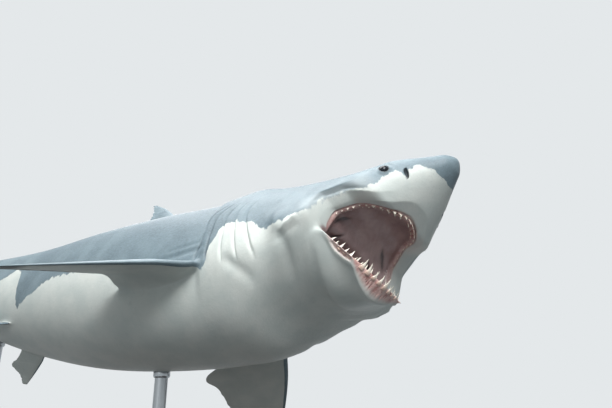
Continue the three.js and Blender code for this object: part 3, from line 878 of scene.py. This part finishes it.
def soft_folds(s, z):
    """Broad hollows behind the jaw and above the root of each pectoral fin."""
    relief = np.zeros_like(s)
    for s0, z0, s1, z1, wide, deep in FOLDS:
        length = math.hypot(s1 - s0, z1 - z0)
        run_s, run_z = (s1 - s0) / length, (z1 - z0) / length
        along = (s - s0) * run_s + (z - z0) * run_z
        off = (z - z0) * run_s - (s - s0) * run_z
        ends = window(-FOLD_FADE, FOLD_FADE, length - FOLD_FADE, length + FOLD_FADE, along)
        relief -= deep * bell(off / wide) * ends
    return relief


# Each slit in the throat: its station and its middle's distance from the midline.
INNER_SLITS = [(11.9, 3.3), (13.5, 2.9), (15.0, 2.5), (16.4, 2.0)]


def inner_slits(s, y):
    """Slits inside the throat, where the gill passages open from the mouth; they are cut in a
    little and painted dark as shade.
    """
    share = np.zeros_like(s)
    for start, width in INNER_SLITS:
        off = s - start - 0.75 * (np.abs(y) - width)
        along = np.exp(-(((np.abs(y) - width) / 0.75) ** 4))
        share = np.maximum(share, bell(off / 0.22) * along)
    return share


def eye_relief(points):
    """A low lid round each eye, and the socket's hollow outside it."""
    relief = np.zeros(len(points))
    for side in (1, -1):
        distance = lengths(points - eye_centre(side))
        relief += 0.06 * bell((distance - EYE_RADIUS - 0.03) / 0.08)
        relief -= 0.07 * bell((distance - EYE_RADIUS - 0.36) / 0.16)
    return relief


KEEL_RISE = 0.22
KEEL_RUN = (74, 80, 86, 89)
NOTCH_DEPTH = 0.28
NOTCH_S = 82.3


def keel_relief(s, y, z):
    """The tail's side keels and the notches above and below it, ahead of the caudal fin."""
    keel = KEEL_RISE * bell(z / 0.3) * window(*KEEL_RUN, s)
    notch = NOTCH_DEPTH * bell((s - NOTCH_S) / 0.5) * bell(y / 0.9) * (np.abs(z) > 0.8)
    return keel - notch


def gum_band(s):
    """Height of the bare gum below the rim of the lower jaw."""
    return (0.3 + 0.14 * smooth(8.4, 10, s)) * (1 - smooth(10.8, 12, s))


def inward(s, y):
    """Direction in plan from the lower rim into the mouth."""
    step = 0.02
    ds = lower_depth(s + step, y) - lower_depth(s - step, y)
    dy = lower_depth(s, y + step) - lower_depth(s, y - step)
    length = np.maximum(np.hypot(ds, dy), 1e-6)
    return columns(ds / length, dy / length, 0)


GUM_INSET = 0.32


def arc_along(s, y):
    """Roughly how far round the lower jaw's arch a place lies."""
    return np.hypot(s - CHIN_FRONT, y) + 0.6 * np.abs(np.arctan2(y, s - CHIN_FRONT + 1.5))


def sculpted(skin):
    """Moves the skin's points for lips, gums, gills, lids and folds; returns the gum's share."""
    points = skin.points
    s, y, z = points.T
    outer = np.isin(skin.kind, (BODY, NEW))
    floor = np.isin(skin.kind, (LOWER, NEW))
    depth = lower_depth(s, y)
    below = lip_height(s) - z
    band = gum_band(s)
    jaw = (s > 7.0) & (s < 13) & (below > SLIT / 2)
    wall = jaw & ((skin.kind == BODY) | ((skin.kind == LOWER) & (depth < 0)))
    rim = jaw & floor & (depth >= -0.05) & (s < MOUTH_CORNER)
    fade = window(7.2, 7.9, 11.6, 12.8, s)
    side_share = 1 - smooth(band - 0.1, band + 0.06, below)
    swollen = 0.1 * np.sin(math.pi * np.clip(below / np.maximum(band, 0.05), 0, 1))
    lumps = 0.03 * np.sin(7.5 * arc_along(s, y)) * np.clip(1 - below / 0.6, 0, 1)
    shift = np.where(wall, (GUM_INSET - swollen - lumps) * side_share * fade, 0)
    shift -= np.where(wall, 0.08 * bell((below - band - 0.2) / 0.16) * fade, 0)
    top_shift = GUM_INSET * fade * np.clip(1 - np.maximum(depth, 0) / 0.7, 0, 1)
    shift = np.where(rim & ~wall, top_shift, shift)
    normals = normals_of(points, skin.faces)
    relief = gill_relief(s, z) * (np.abs(y) > 2) + soft_folds(s, z) + eye_relief(points)
    over = z - lip_height(s)
    lips = window(7.5, 9, 12.3, 13.4, s) * (skin.kind == BODY)
    relief += lips * 0.07 * bell((over - 0.22) / 0.2) * (over > -0.02)
    relief -= lips * 0.08 * bell((over - 0.8) / 0.25)
    relief = np.where(outer, relief, -0.2 * inner_slits(s, y) * (skin.kind == UPPER))
    relief += keel_relief(s, y, z) * (skin.kind == BODY)
    moved = points + normals * relief[:, None] + inward(s, y) * shift[:, None]
    gum = np.where(wall, side_share, 0) * (band > 0.05)
    gum = np.where(rim & ~wall, 1 - smooth(0.9, 1.3, depth), gum)
    return moved, gum


# Height of the jagged line between the grey back and the white belly, at each station.
BORDER = curve_through(
    [0, 1.7, 2.1, 2.65, 3.6, 4.5, 5.1, 6.8, 9.1, 11.8, 14.1, 15.6, 17.6, 18.5, 19.7, 21.3, 23,
     24.2, 24.9, 25.4, 27, 33, 37, 40, 47, 50.5, 54, 55.8, 57, 60.8, 65, 71, 78, 83, 90],
    [-3, -3, -1.6, -0.95, -0.9, -1.35, -1.15, -1.78, -2.8, -3.35, -3.2, -3.15, -2.75, -2.5, -1.45,
     -0.89, -0.65, -1.6, -3.0, -4.6, -4.9, -4.9, -4.4, -3.2, -2.6, -2.9, -4.6, -4.9, -1.3,
     -1.4, -2.2, -1.5, -1.1, -1.8, -2.6])
# Fins with a pale underside, and the sign that across has there.
PALE_UNDER = {"pectoral_left": 1, "pectoral_right": -1, "pelvic_left": 1, "pelvic_right": -1}


def skin_marks(skin, edges, gum):
    """Values at the skin's points that its material reads."""
    s, y, z = skin.points.T
    uneven = 0.9 * window(8, 10, 14, 16, s) * (y > 0)
    height = z - BORDER(s) - uneven
    tip = np.zeros_like(s)
    for i, name in enumerate(FIN_NAMES):
        mine = skin.kind == FIN + i
        height[mine] = 2
        if name in PALE_UNDER:
            across = skin.across[mine] * PALE_UNDER[name]
            along = skin.along[mine]
            under = smooth(0.02, 0.06, across)
            height[mine] = 1.6 - 3.2 * under
            rear = smooth(0.55, 0.95, across) * smooth(0.35, 0.7, along)
            dark = np.maximum(smooth(0.74, 0.92, along), 0.8 * rear)
            tip[mine] = under * dark * name.startswith("pectoral")
    height[skin.kind == fin_kind("anal_fin")] = -1
    seams = seam_kinds(skin, edges)
    root = np.exp(-near_seam(skin, seams, FIN, 99, 1.0) / 0.5)
    soft = spread(height, edges, 12)
    height = height + (soft - height) * np.minimum(root * 2, 1)
    roof = skin.kind == UPPER
    inside = roof | (skin.kind == LOWER)
    depth = upper_depth(s, y)
    low = (skin.kind == LOWER) * (lower_depth(s, y) > 0)
    mouth = np.maximum(roof * smooth(0.24, 0.36, depth), low)
    mouth = np.where((s > MOUTH_CORNER) & inside, 1, mouth)
    upper_gum = roof * window(0.24, 0.34, 0.7, 1.05, depth) * (s < MOUTH_CORNER)
    gum = np.maximum(gum, 0.55 * upper_gum)
    # Painted shade in the hollows: the gill slits darken with their depth, and the slits inside the
    # throat and the nostrils are darkened too.
    slits = np.clip(-gill_relief(s, z) * 2.4 - 0.25, 0, 1)
    slits = slits * (np.abs(y) > 2) * (skin.kind == BODY)
    slits = np.maximum(slits, inner_slits(s, y) * inside)
    hollow = np.maximum(slits, spread((skin.kind == NOSTRIL).astype(float), edges, 2))
    return {
        "height": height, "tip": tip, "gum": spread(gum, edges, 5),
        "mouth": spread(mouth, edges, 1), "hollow": hollow,
    }


# Rounds of smoothing at each kind of seam or edge.
FIN_ROUNDS = 40
CREST_ROUNDS = 700
HOLE_ROUNDS = 10
RIM_ROUNDS = 14
HINGE_ROUNDS = 30


def smoothed_skin():
    """The joined skin with its seams rounded, still straight and with its mouth shut."""
    skin = joined_skin()
    edges = edges_of(skin.faces)
    seams = seam_kinds(skin, edges)
    fins = near_seam(skin, seams, FIN, 99, 1.3)
    skin.points = relaxed(skin.points, edges, 1 - smooth(0.2, 1.0, fins), FIN_ROUNDS)
    s, _, z = skin.points.T
    over = z - lip_height(s)
    crest = window(5, 7, 14, 17, s) * smooth(0.5, 0.9, over)
    crest = crest * (1 - smooth(4, 6, over)) * (skin.kind == BODY)
    skin.points = relaxed(skin.points, edges, crest, CREST_ROUNDS)
    holes = near_seam(skin, seams, EYE, NOSTRIL, 0.3)
    skin.points = relaxed(skin.points, edges, 1 - smooth(0.05, 0.16, holes), HOLE_ROUNDS)
    return skin, edges, seams


def fit_lids(points, socket):
    """Draws the sockets' walls and rims close round the eyeballs."""
    for side in (1, -1):
        away = points - eye_centre(side)
        reach = lengths(away)
        mine = socket & (reach < 2 * EYE_RADIUS)
        fit = (EYE_RADIUS + LID_GAP) / reach[mine]
        points[mine] = eye_centre(side) + away[mine] * fit[:, None]


def skin_object(material):
    skin, edges, seams = smoothed_skin()
    moved, gum = sculpted(skin)
    fit_lids(moved, (skin.kind == EYE) | (seams == EYE))
    marks = skin_marks(skin, edges, gum)
    s, _, z = skin.points.T
    under = (z < lip_height(np.minimum(s, HINGE_S))) & (s > CHIN_FRONT - 0.35)
    rims = near_seam(skin, seams, UPPER, LOWER, 0.5)
    hinge = lengths((skin.points - [HINGE_S, 0, HINGE_Z])[:, [0, 2]])
    room = pose(open_jaw(moved, under=under))
    room = relaxed(room, edges, 1 - smooth(0.1, 0.34, rims), RIM_ROUNDS)
    room = relaxed(room, edges, 1 - smooth(0.5, 1.3, hinge), HINGE_ROUNDS)
    thing = add_object("skin", room, skin.faces[:, ::-1], material)
    for name, values in marks.items():
        keep_values(thing, name, values)
    keep_values(thing, "straight", skin.points, "vector")
    flesh = ["head", "lower_jaw", "gill_region", "trunk_front", "trunk_rear", "tail_stock"]
    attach(thing, "root")
    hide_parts(*flesh, *FIN_NAMES)
    return thing


# ---- teeth


def tooth_line(depth_at, depth, end_s):
    """Plan of a tooth row on the left: points (s, y) from the jaw's front to its corner."""
    points = []
    middle = 10.6
    for angle in np.linspace(0, radians(150), 400):
        near, far = 0.0, 9.0
        for _ in range(24):
            half = (near + far) / 2
            s = middle - half * math.cos(angle)
            inside = depth_at(np.array(s), np.array(half * math.sin(angle))) > depth
            near, far = (half, far) if inside else (near, half)
        s = middle - near * math.cos(angle)
        if s > end_s:
            break
        points.append((s, near * math.sin(angle)))
    return np.array(points)


def along_line(line, share):
    """Place and direction at shares of a line's length."""
    reached = np.concatenate([[0], np.cumsum(lengths(np.diff(line, axis=0)))])
    at = share * reached[-1]

    def place_at(length):
        return np.array([np.interp(length, reached, line[:, k]) for k in range(2)])

    run = place_at(at + 0.05) - place_at(at - 0.05)
    return place_at(at), run / lengths(run)


def tooth_solid(place, run, side, rise, height, wide, high, hook, tilt, saw):
    """A pointed tooth with a lens section, curved inwards; rise is +1 on the lower jaw."""
    steps = np.concatenate([np.linspace(-0.25, 0, 4)[:-1], np.linspace(0, 1, 15) ** 0.9])
    angles = whole_turn(16)
    inwards = np.array([run[1], -run[0]])
    rings = []
    for t in steps:
        up = max(t, 0)
        size = (1 - up) ** 0.85 * (0.78 + 0.5 * (1 - up) ** 3) if t > 0 else 1.28 * (1 + 0.15 * t)
        half = max(wide / 2 * size, 0.008)
        edge = 1 + saw * math.sin(up * 60)
        thick = max(0.36 * half * (1 - 0.3 * up), 0.006) if saw == 0 else max(0.2 * half, 0.006)
        lean = hook * high * (up**2) + 0.1 * high * up
        shift = tilt * high * up**1.3
        ring = []
        for angle in angles:
            a = half * edge * np.sign(math.cos(angle)) * abs(math.cos(angle)) ** 0.8 + shift
            b = thick * math.sin(angle) + lean
            out = place + run * a + inwards * b
            ring.append((out[0], side * out[1], height + rise * t * high))
        rings.append(ring)
    return loft(np.array(rings), 0, steps[:, None])


# Each jaw's teeth: their number on a side, how far inside the lip and how deep in the gum
# they stand, which way they point, and the largest one's height, width and sawn edge.
JAWS = {
    "lower": {"count": 10, "inside": 0.36, "sunk": -0.12, "rise": 1,
              "high": 0.92, "wide": 0.46, "saw": 0},
    "upper": {"count": 12, "inside": 0.5, "sunk": 0.08, "rise": -1,
              "high": 0.46, "wide": 0.52, "saw": 0.05},
}
ROW_GAP = 0.3
ROW_DROP = 0.15
BEHIND_SIZE = 0.8
LAST_TOOTH = 0.97


def tooth_row(part, row, material):
    """One row of teeth round a jaw: the front row, or the smaller one behind it."""
    lower = part == "lower"
    jaw = JAWS[part]
    count, rise = jaw["count"], jaw["rise"]
    depth_at = lower_depth if lower else upper_depth
    line = tooth_line(depth_at, jaw["inside"] + ROW_GAP * row, 12)
    random = np.random.default_rng(11 + 2 * row + lower)
    teeth = []
    for side in (-1, 1):
        for i in range(count):
            t = (i + 0.5 + 0.5 * row) / count
            if t > LAST_TOOTH:
                continue
            place, run = along_line(line, 1.12 * t - 0.12 * t * t)
            size = (1 - 0.5 * t) * random.uniform(0.76, 1.14) * (BEHIND_SIZE if row else 1)
            hook = random.uniform(0.22, 0.48) if lower else 0.05
            tilt = random.uniform(-0.3, 0.34) if lower else 0.12
            height = lip_height(place[0]) + jaw["sunk"] - rise * ROW_DROP * row
            teeth.append(tooth_solid(place, run, side, rise, height, jaw["wide"] * size,
                                     jaw["high"] * size, hook + 0.25 * row, tilt, jaw["saw"]))
    solid = gathered(teeth)
    room = pose(open_jaw(solid.points, part))
    name = f"teeth_{part}_{'behind' if row else 'front'}"
    thing = add_object(name, room, solid.faces[:, ::-1], material)
    keep_values(thing, "grown", solid.along)
    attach(thing, "root")
    return thing


# ---- eyes


def eye_object(name, side, material):
    """A fine eyeball in the place of the frame's plain one."""
    solid = ball(np.zeros(3), EYE_RADIUS * UNIT, EYE)
    centre = pose(eye_centre(side))
    thing = add_object(name + "_ball", solid.points + centre, solid.faces, material)
    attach(thing, "root")
    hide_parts(name)
    return thing


# ---- materials


def linear(code):
    """Linear colour from a hex code such as 'a0b0c0'."""
    parts = [int(code[i:i + 2], 16) / 255 for i in (0, 2, 4)]
    return [p / 12.92 if p <= 0.04045 else ((p + 0.055) / 1.055) ** 2.4 for p in parts] + [1]


class Nodes:
    """A node tree whose nodes are made and joined by short calls."""

    def __init__(self, owner):
        owner.use_nodes = True
        self.tree = owner.node_tree

    def node(self, kind, inputs=(), **settings):
        """A new node; inputs lists what its first sockets take."""
        node = self.tree.nodes.new("ShaderNode" + kind)
        for key, value in settings.items():
            setattr(node, key, value)
        for value, socket in zip(inputs, node.inputs):
            self.put(value, socket)
        return node

    def put(self, value, socket):
        """Joins or sets a socket; a text is a colour's hex code."""
        if isinstance(value, bpy.types.NodeSocket):
            self.tree.links.new(value, socket)
        elif value is not None:
            socket.default_value = linear(value) if isinstance(value, str) else value

    def wired(self, kind, **inputs):
        """A new node whose sockets are told by name."""
        node = self.node(kind)
        for key, value in inputs.items():
            self.put(value, node.inputs[key])
        return node

    def attribute(self, name, output="Fac"):
        return self.node("Attribute", attribute_name=name).outputs[output]

    def maths(self, operation, *values):
        return self.node("Math", values, operation=operation).outputs[0]

    def times(self, first, *others):
        for other in others:
            first = self.maths("MULTIPLY", first, other)
        return first

    def ramp(self, value, low, high, to_low=0.0, to_high=1.0):
        values = (value, low, high, to_low, to_high)
        return self.node("MapRange", values, interpolation_type="SMOOTHSTEP").outputs[0]

    def mix(self, share, a, b):
        node = self.node("Mix", data_type="RGBA")
        for value, socket in ((share, "Factor"), (a, 6), (b, 7)):
            self.put(value, node.inputs[socket])
        return node.outputs[2]

    def layers(self, colour, *coats):
        """A colour with coats over it, each given as its share and its colour."""
        for share, coat in coats:
            colour = self.mix(share, colour, coat)
        return colour

    def own_place(self):
        return self.node("TexCoord").outputs["Object"]

    def stretched(self, vector, scale):
        return self.wired("Mapping", Vector=vector, Scale=scale).outputs[0]

    def noise(self, vector, scale, detail=4.0, roughness=0.55):
        node = self.wired(
            "TexNoise", Vector=vector, Scale=scale, Detail=detail, Roughness=roughness)
        return node.outputs[0]

    def cells(self, vector, scale):
        return self.wired("TexVoronoi", Vector=vector, Scale=scale).outputs["Distance"]

    def seen(self):
        """1 for rays that show the background: from the camera, off metal or through glass."""
        rays = self.node("LightPath").outputs
        share = self.maths("MAXIMUM", rays["Is Camera Ray"], rays["Is Glossy Ray"])
        return self.maths("MAXIMUM", share, rays["Is Transmission Ray"])


class Finish(Nodes):
    """A material and its shader."""

    def __init__(self, name, **sockets):
        self.material = bpy.data.materials.new(name)
        super().__init__(self.material)
        self.shader = self.tree.nodes["Principled BSDF"]
        for key, value in sockets.items():
            self.set(key.replace("_", " "), value)

    def bump(self, height, strength, distance):
        node = self.wired("Bump", Strength=strength, Distance=distance, Height=height)
        self.set("Normal", node.outputs[0])

    def set(self, name, value):
        self.put(value, self.shader.inputs[name])


def skin_finish():
    """Grey above and white below with a jagged border, gums, palate and pores, with painted light
    on the brow and painted shade in the throat, the slits, the nostrils and round the eyes.
    """
    f = Finish("shark_skin", Specular_IOR_Level=0.4)
    place = f.attribute("straight", "Vector")
    station = f.node("SeparateXYZ", [place]).outputs[0]
    height, tip, mouth, gum, hollow = map(f.attribute, ("height", "tip", "mouth", "gum", "hollow"))

    broad = f.noise(place, 0.35, 3)
    patches = f.ramp(broad, 0.35, 0.65)
    fine = f.noise(f.stretched(place, (0.6, 1.6, 1.6)), 5.5, 5, 0.6)
    # Painted light on the brow: the grey just above the border, from behind the eye back past the
    # mouth's corner, is lifted towards a pale grey against the shade below the cheek's crest.
    brow_painted_light = f.times(
        f.ramp(station, 6.5, 8.5), f.ramp(station, 14.5, 12), f.ramp(height, 2.2, 0.4, 0, 0.65))
    back = f.layers("5f6f76", (patches, "72838a"), (f.ramp(height, 1, 9), "56666e"),
                    (f.ramp(fine, 0.3, 0.75, 0, 0.4), "8496a0"), (brow_painted_light, "bcc6c8"))
    stains = f.ramp(f.noise(place, 0.9, 6, 0.7), 0.56, 0.8, 0, 0.35)
    belly = f.layers("cfd4cf", (f.ramp(broad, 0.3, 0.7), "c2cac6"), (stains, "a9b1ac"))
    # The mouth's lining, with painted shade that darkens it to near black deep towards the throat.
    inside = f.layers("ab9795", (patches, "8e7978"), (f.ramp(station, 13.2, 18), "2c1416"))
    pink = f.mix(f.ramp(f.noise(place, 1.8, 4, 0.6), 0.42, 0.62), "d9b9b1", "b4827c")

    ragged = f.noise(f.stretched(place, (1.2, 1, 0.7)), 1.1, 5, 0.62)
    level = f.maths("ADD", height, f.times(f.maths("SUBTRACT", ragged, 0.5), 1.5))
    pores = f.times(f.ramp(f.cells(place, 5), 0.1, 0.2, 1, 0), f.ramp(station, 5.5, 2), 0.45)
    # Painted shade in a ring round each eye, where the socket's gap meets the eyeball, joined to
    # the painted shade of the hollows.
    for side in (1, -1):
        away = f.node("VectorMath", [place, eye_centre(side)], operation="DISTANCE")
        rim = f.ramp(away.outputs["Value"], EYE_RADIUS + 0.03, EYE_RADIUS + 0.11, 1, 0)
        hollow = f.maths("MAXIMUM", hollow, rim)
    # The last coat is the painted shade of the slits, nostrils and eye sockets.
    f.set("Base Color", f.layers(
        belly, (f.ramp(level, -0.09, 0.12), back), (f.ramp(tip, 0.25, 0.75), "2b3337"),
        (pores, "3c474c"), (mouth, inside), (gum, pink), (f.times(hollow, 0.8), "23282b")))

    grain = f.noise(place, 26, 3, 0.6)
    dents = f.noise(place, 3, 4, 0.6)
    f.bump(f.maths("ADD", f.times(grain, 0.25), f.times(dents, 0.75)), 0.35, 0.004)
    wet = f.times(f.maths("MAXIMUM", mouth, gum), 0.2)
    f.set("Roughness", f.maths("SUBTRACT", f.ramp(grain, 0.2, 0.8, 0.42, 0.56), wet))
    return f.material


def tooth_finish():
    f = Finish("tooth_enamel", Roughness=0.22)
    stain = f.noise(f.own_place(), 90, 3)
    f.set("Base Color", f.layers("d9b8a8", (f.ramp(f.attribute("grown"), -0.1, 0.45), "efeadb"),
                                 (f.ramp(stain, 0.5, 0.8, 0, 0.3), "cdbf9f")))
    f.bump(stain, 0.15, 0.001)
    return f.material


def eye_finish():
    f = Finish("eye_dark", Roughness=0.12, Specular_IOR_Level=0.3)
    f.set("Base Color", f.mix(f.noise(f.own_place(), 60, 3), "07090b", "12202b"))
    return f.material


def streaked_finish(name, stretch, scale, detail, spread_over, colours, roughness, bump, **sockets):
    """Wood or brushed metal: its streaks vary between two colours and two roughnesses."""
    f = Finish(name, **sockets)
    streaks = f.noise(f.stretched(f.own_place(), stretch), scale, detail, 0.6)
    share = f.ramp(streaks, *spread_over) if spread_over else streaks
    f.set("Base Color", f.mix(share, *colours))
    f.set("Roughness", f.ramp(streaks, 0.2, 0.8, *roughness))
    f.bump(streaks, *bump)
    return f.material


# ---- stand


def dress(node, material):
    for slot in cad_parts[node].material_slots:
        slot.material = material


def turned(profile, centre, sides=64):
    """A solid of revolution about an upright line; profile lists radius and height."""
    angles = whole_turn(sides)
    rings = [centre + columns(r * np.cos(angles), r * np.sin(angles), h) for r, h in profile]
    return loft(np.array(rings), 0)


FLANGE = 2.9
BOLTS = 6
BOLT_RING = 0.78
BOLT_PROFILE = [(0.009, 0), (0.009, 0.006), (0.0065, 0.009), (0.001, 0.01)]


def rod_fittings(node, material):
    """A bolted flange where a rod meets the base and a cuff where it enters the belly."""
    low, high = (np.array(corner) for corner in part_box(node))
    x, y = (low + high)[:2] / 2
    radius = (high - low)[0] / 2
    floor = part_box("stand_base")[1][2]
    wide = radius * FLANGE
    flange = turned([(wide - 0.003, 0), (wide, 0.003), (wide, 0.011), (wide - 0.004, 0.015),
                     (radius + 0.014, 0.016), (radius + 0.008, 0.024), (radius + 0.007, 0.05),
                     (radius + 0.003, 0.054), (radius * 0.9, 0.054)], (x, y, floor))
    turns = whole_turn(BOLTS)
    ring = BOLT_RING * wide * columns(np.cos(turns), np.sin(turns), 0)
    bolts = [turned(BOLT_PROFILE, place + [x, y, floor + 0.015], 6) for place in ring]
    s, angle = np.meshgrid(np.linspace(30, 72, 420), np.linspace(0, 2 * math.pi, 361))
    belly = pose(body_points(s, angle))
    near = np.hypot(belly[..., 0] - x, belly[..., 1] - y) < radius + 0.01
    heights = belly[..., 2][near & (belly[..., 2] < high[2])]
    lowest = heights.min()
    deep = heights.max() - lowest
    cuff = turned([(radius * 0.9, -0.03), (radius + 0.005, -0.028), (radius + 0.009, -0.02),
                   (radius + 0.009, deep + 0.006), (radius * 0.9, deep + 0.012)], (x, y, lowest))
    solid = gathered([flange, *bolts, cuff])
    thing = add_object(node + "_fittings", solid.points, solid.faces, material)
    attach(thing, "root")


# ---- room


def camera_object():
    """The camera, low beside the head and looking up at it."""
    right = Vector((0.8868, 0.4621, -0.0005))
    up = Vector((0.159, -0.3041, 0.9393))
    back = Vector((0.4339, -0.8331, -0.3431))
    data = bpy.data.cameras.new("camera")
    data.sensor_width = 36
    data.lens = 32.56
    data.clip_end = 100
    thing = linked("camera", data)
    turn = Matrix((right, up, back)).transposed().to_4x4()
    thing.matrix_world = Matrix.Translation((1.9504, -2.1895, 0.5774)) @ turn
    bpy.context.scene.camera = thing


def backdrop_floor():
    """A pale floor that shows as the background does and throws back a grey light."""
    mesh = bpy.data.meshes.new("floor")
    size = 40
    corners = [(-size, -size, 0), (size, -size, 0), (size, size, 0), (-size, size, 0)]
    mesh.from_pydata(corners, [], [(0, 1, 2, 3)])
    thing = linked("floor", mesh)
    f = Finish("floor_pale", Roughness=0.9, Emission_Color="e2e6e8")
    seen = f.seen()
    f.set("Base Color", f.mix(seen, "5e6366", "7c8082"))
    f.set("Emission Strength", f.times(seen, 0.62))
    mesh.materials.append(f.material)
    thing.location.z = -0.001


def pale_world():
    world = bpy.data.worlds.new("studio")
    bpy.context.scene.world = world
    f = Nodes(world)
    light = f.tree.nodes["Background"]
    light.inputs["Color"].default_value = linear("dfe6ea")
    light.inputs["Strength"].default_value = 0.26
    shown = f.node("Background", ["e4e8ea"])
    mix = f.node("MixShader", [f.seen(), light.outputs[0], shown.outputs[0]])
    f.put(mix.outputs[0], f.tree.nodes["World Output"].inputs["Surface"])


def aimed_light(name, kind, place, target, **settings):
    data = bpy.data.lights.new(name, kind)
    for key, value in settings.items():
        setattr(data, key, value)
    thing = linked(name, data)
    thing.location = place
    thing.rotation_euler = (Vector(target) - Vector(place)).to_track_quat("-Z", "Y").to_euler()


# ---- assembly

camera_object()
pale_world()
backdrop_floor()
aimed_light("above", "AREA", (-0.4, -0.2, 5.2), (0.3, 0, 1.0), size=4, energy=260)
aimed_light("side", "AREA", (2.8, -3.0, 4.2), (0.7, -0.2, 1.2), size=2.2, energy=270)
aimed_light("behind", "AREA", (-3.2, 3.8, 3.4), (-0.2, 0, 1.1), size=3, energy=120)
aimed_light("level", "SUN", (0.9, -3.2, 1.5), (0.7, 0, 1.2), angle=0.9, energy=0.42)

skin_object(skin_finish())
enamel = tooth_finish()
for jaw in ("lower", "upper"):
    for row in (0, 1):
        tooth_row(jaw, row, enamel)
gloss = eye_finish()
eye_object("eye_left", 1, gloss)
eye_object("eye_right", -1, gloss)
wood = streaked_finish("stand_wood", (1.2, 22, 22), 3, 6, (0.3, 0.7), ("2b2422", "463a35"),
                       (0.32, 0.46), (0.2, 0.002))
steel = streaked_finish("stand_steel", (160, 160, 2), 2, 4, None, ("8b9094", "b3b8bb"),
                        (0.26, 0.42), (0.08, 0.001), Metallic=1)
dress("stand_base", wood)
for rod in ("stand_rod_front", "stand_rod_rear"):
    dress(rod, steel)
    rod_fittings(rod, steel)

view = bpy.context.scene.view_settings
view.view_transform = "Standard"
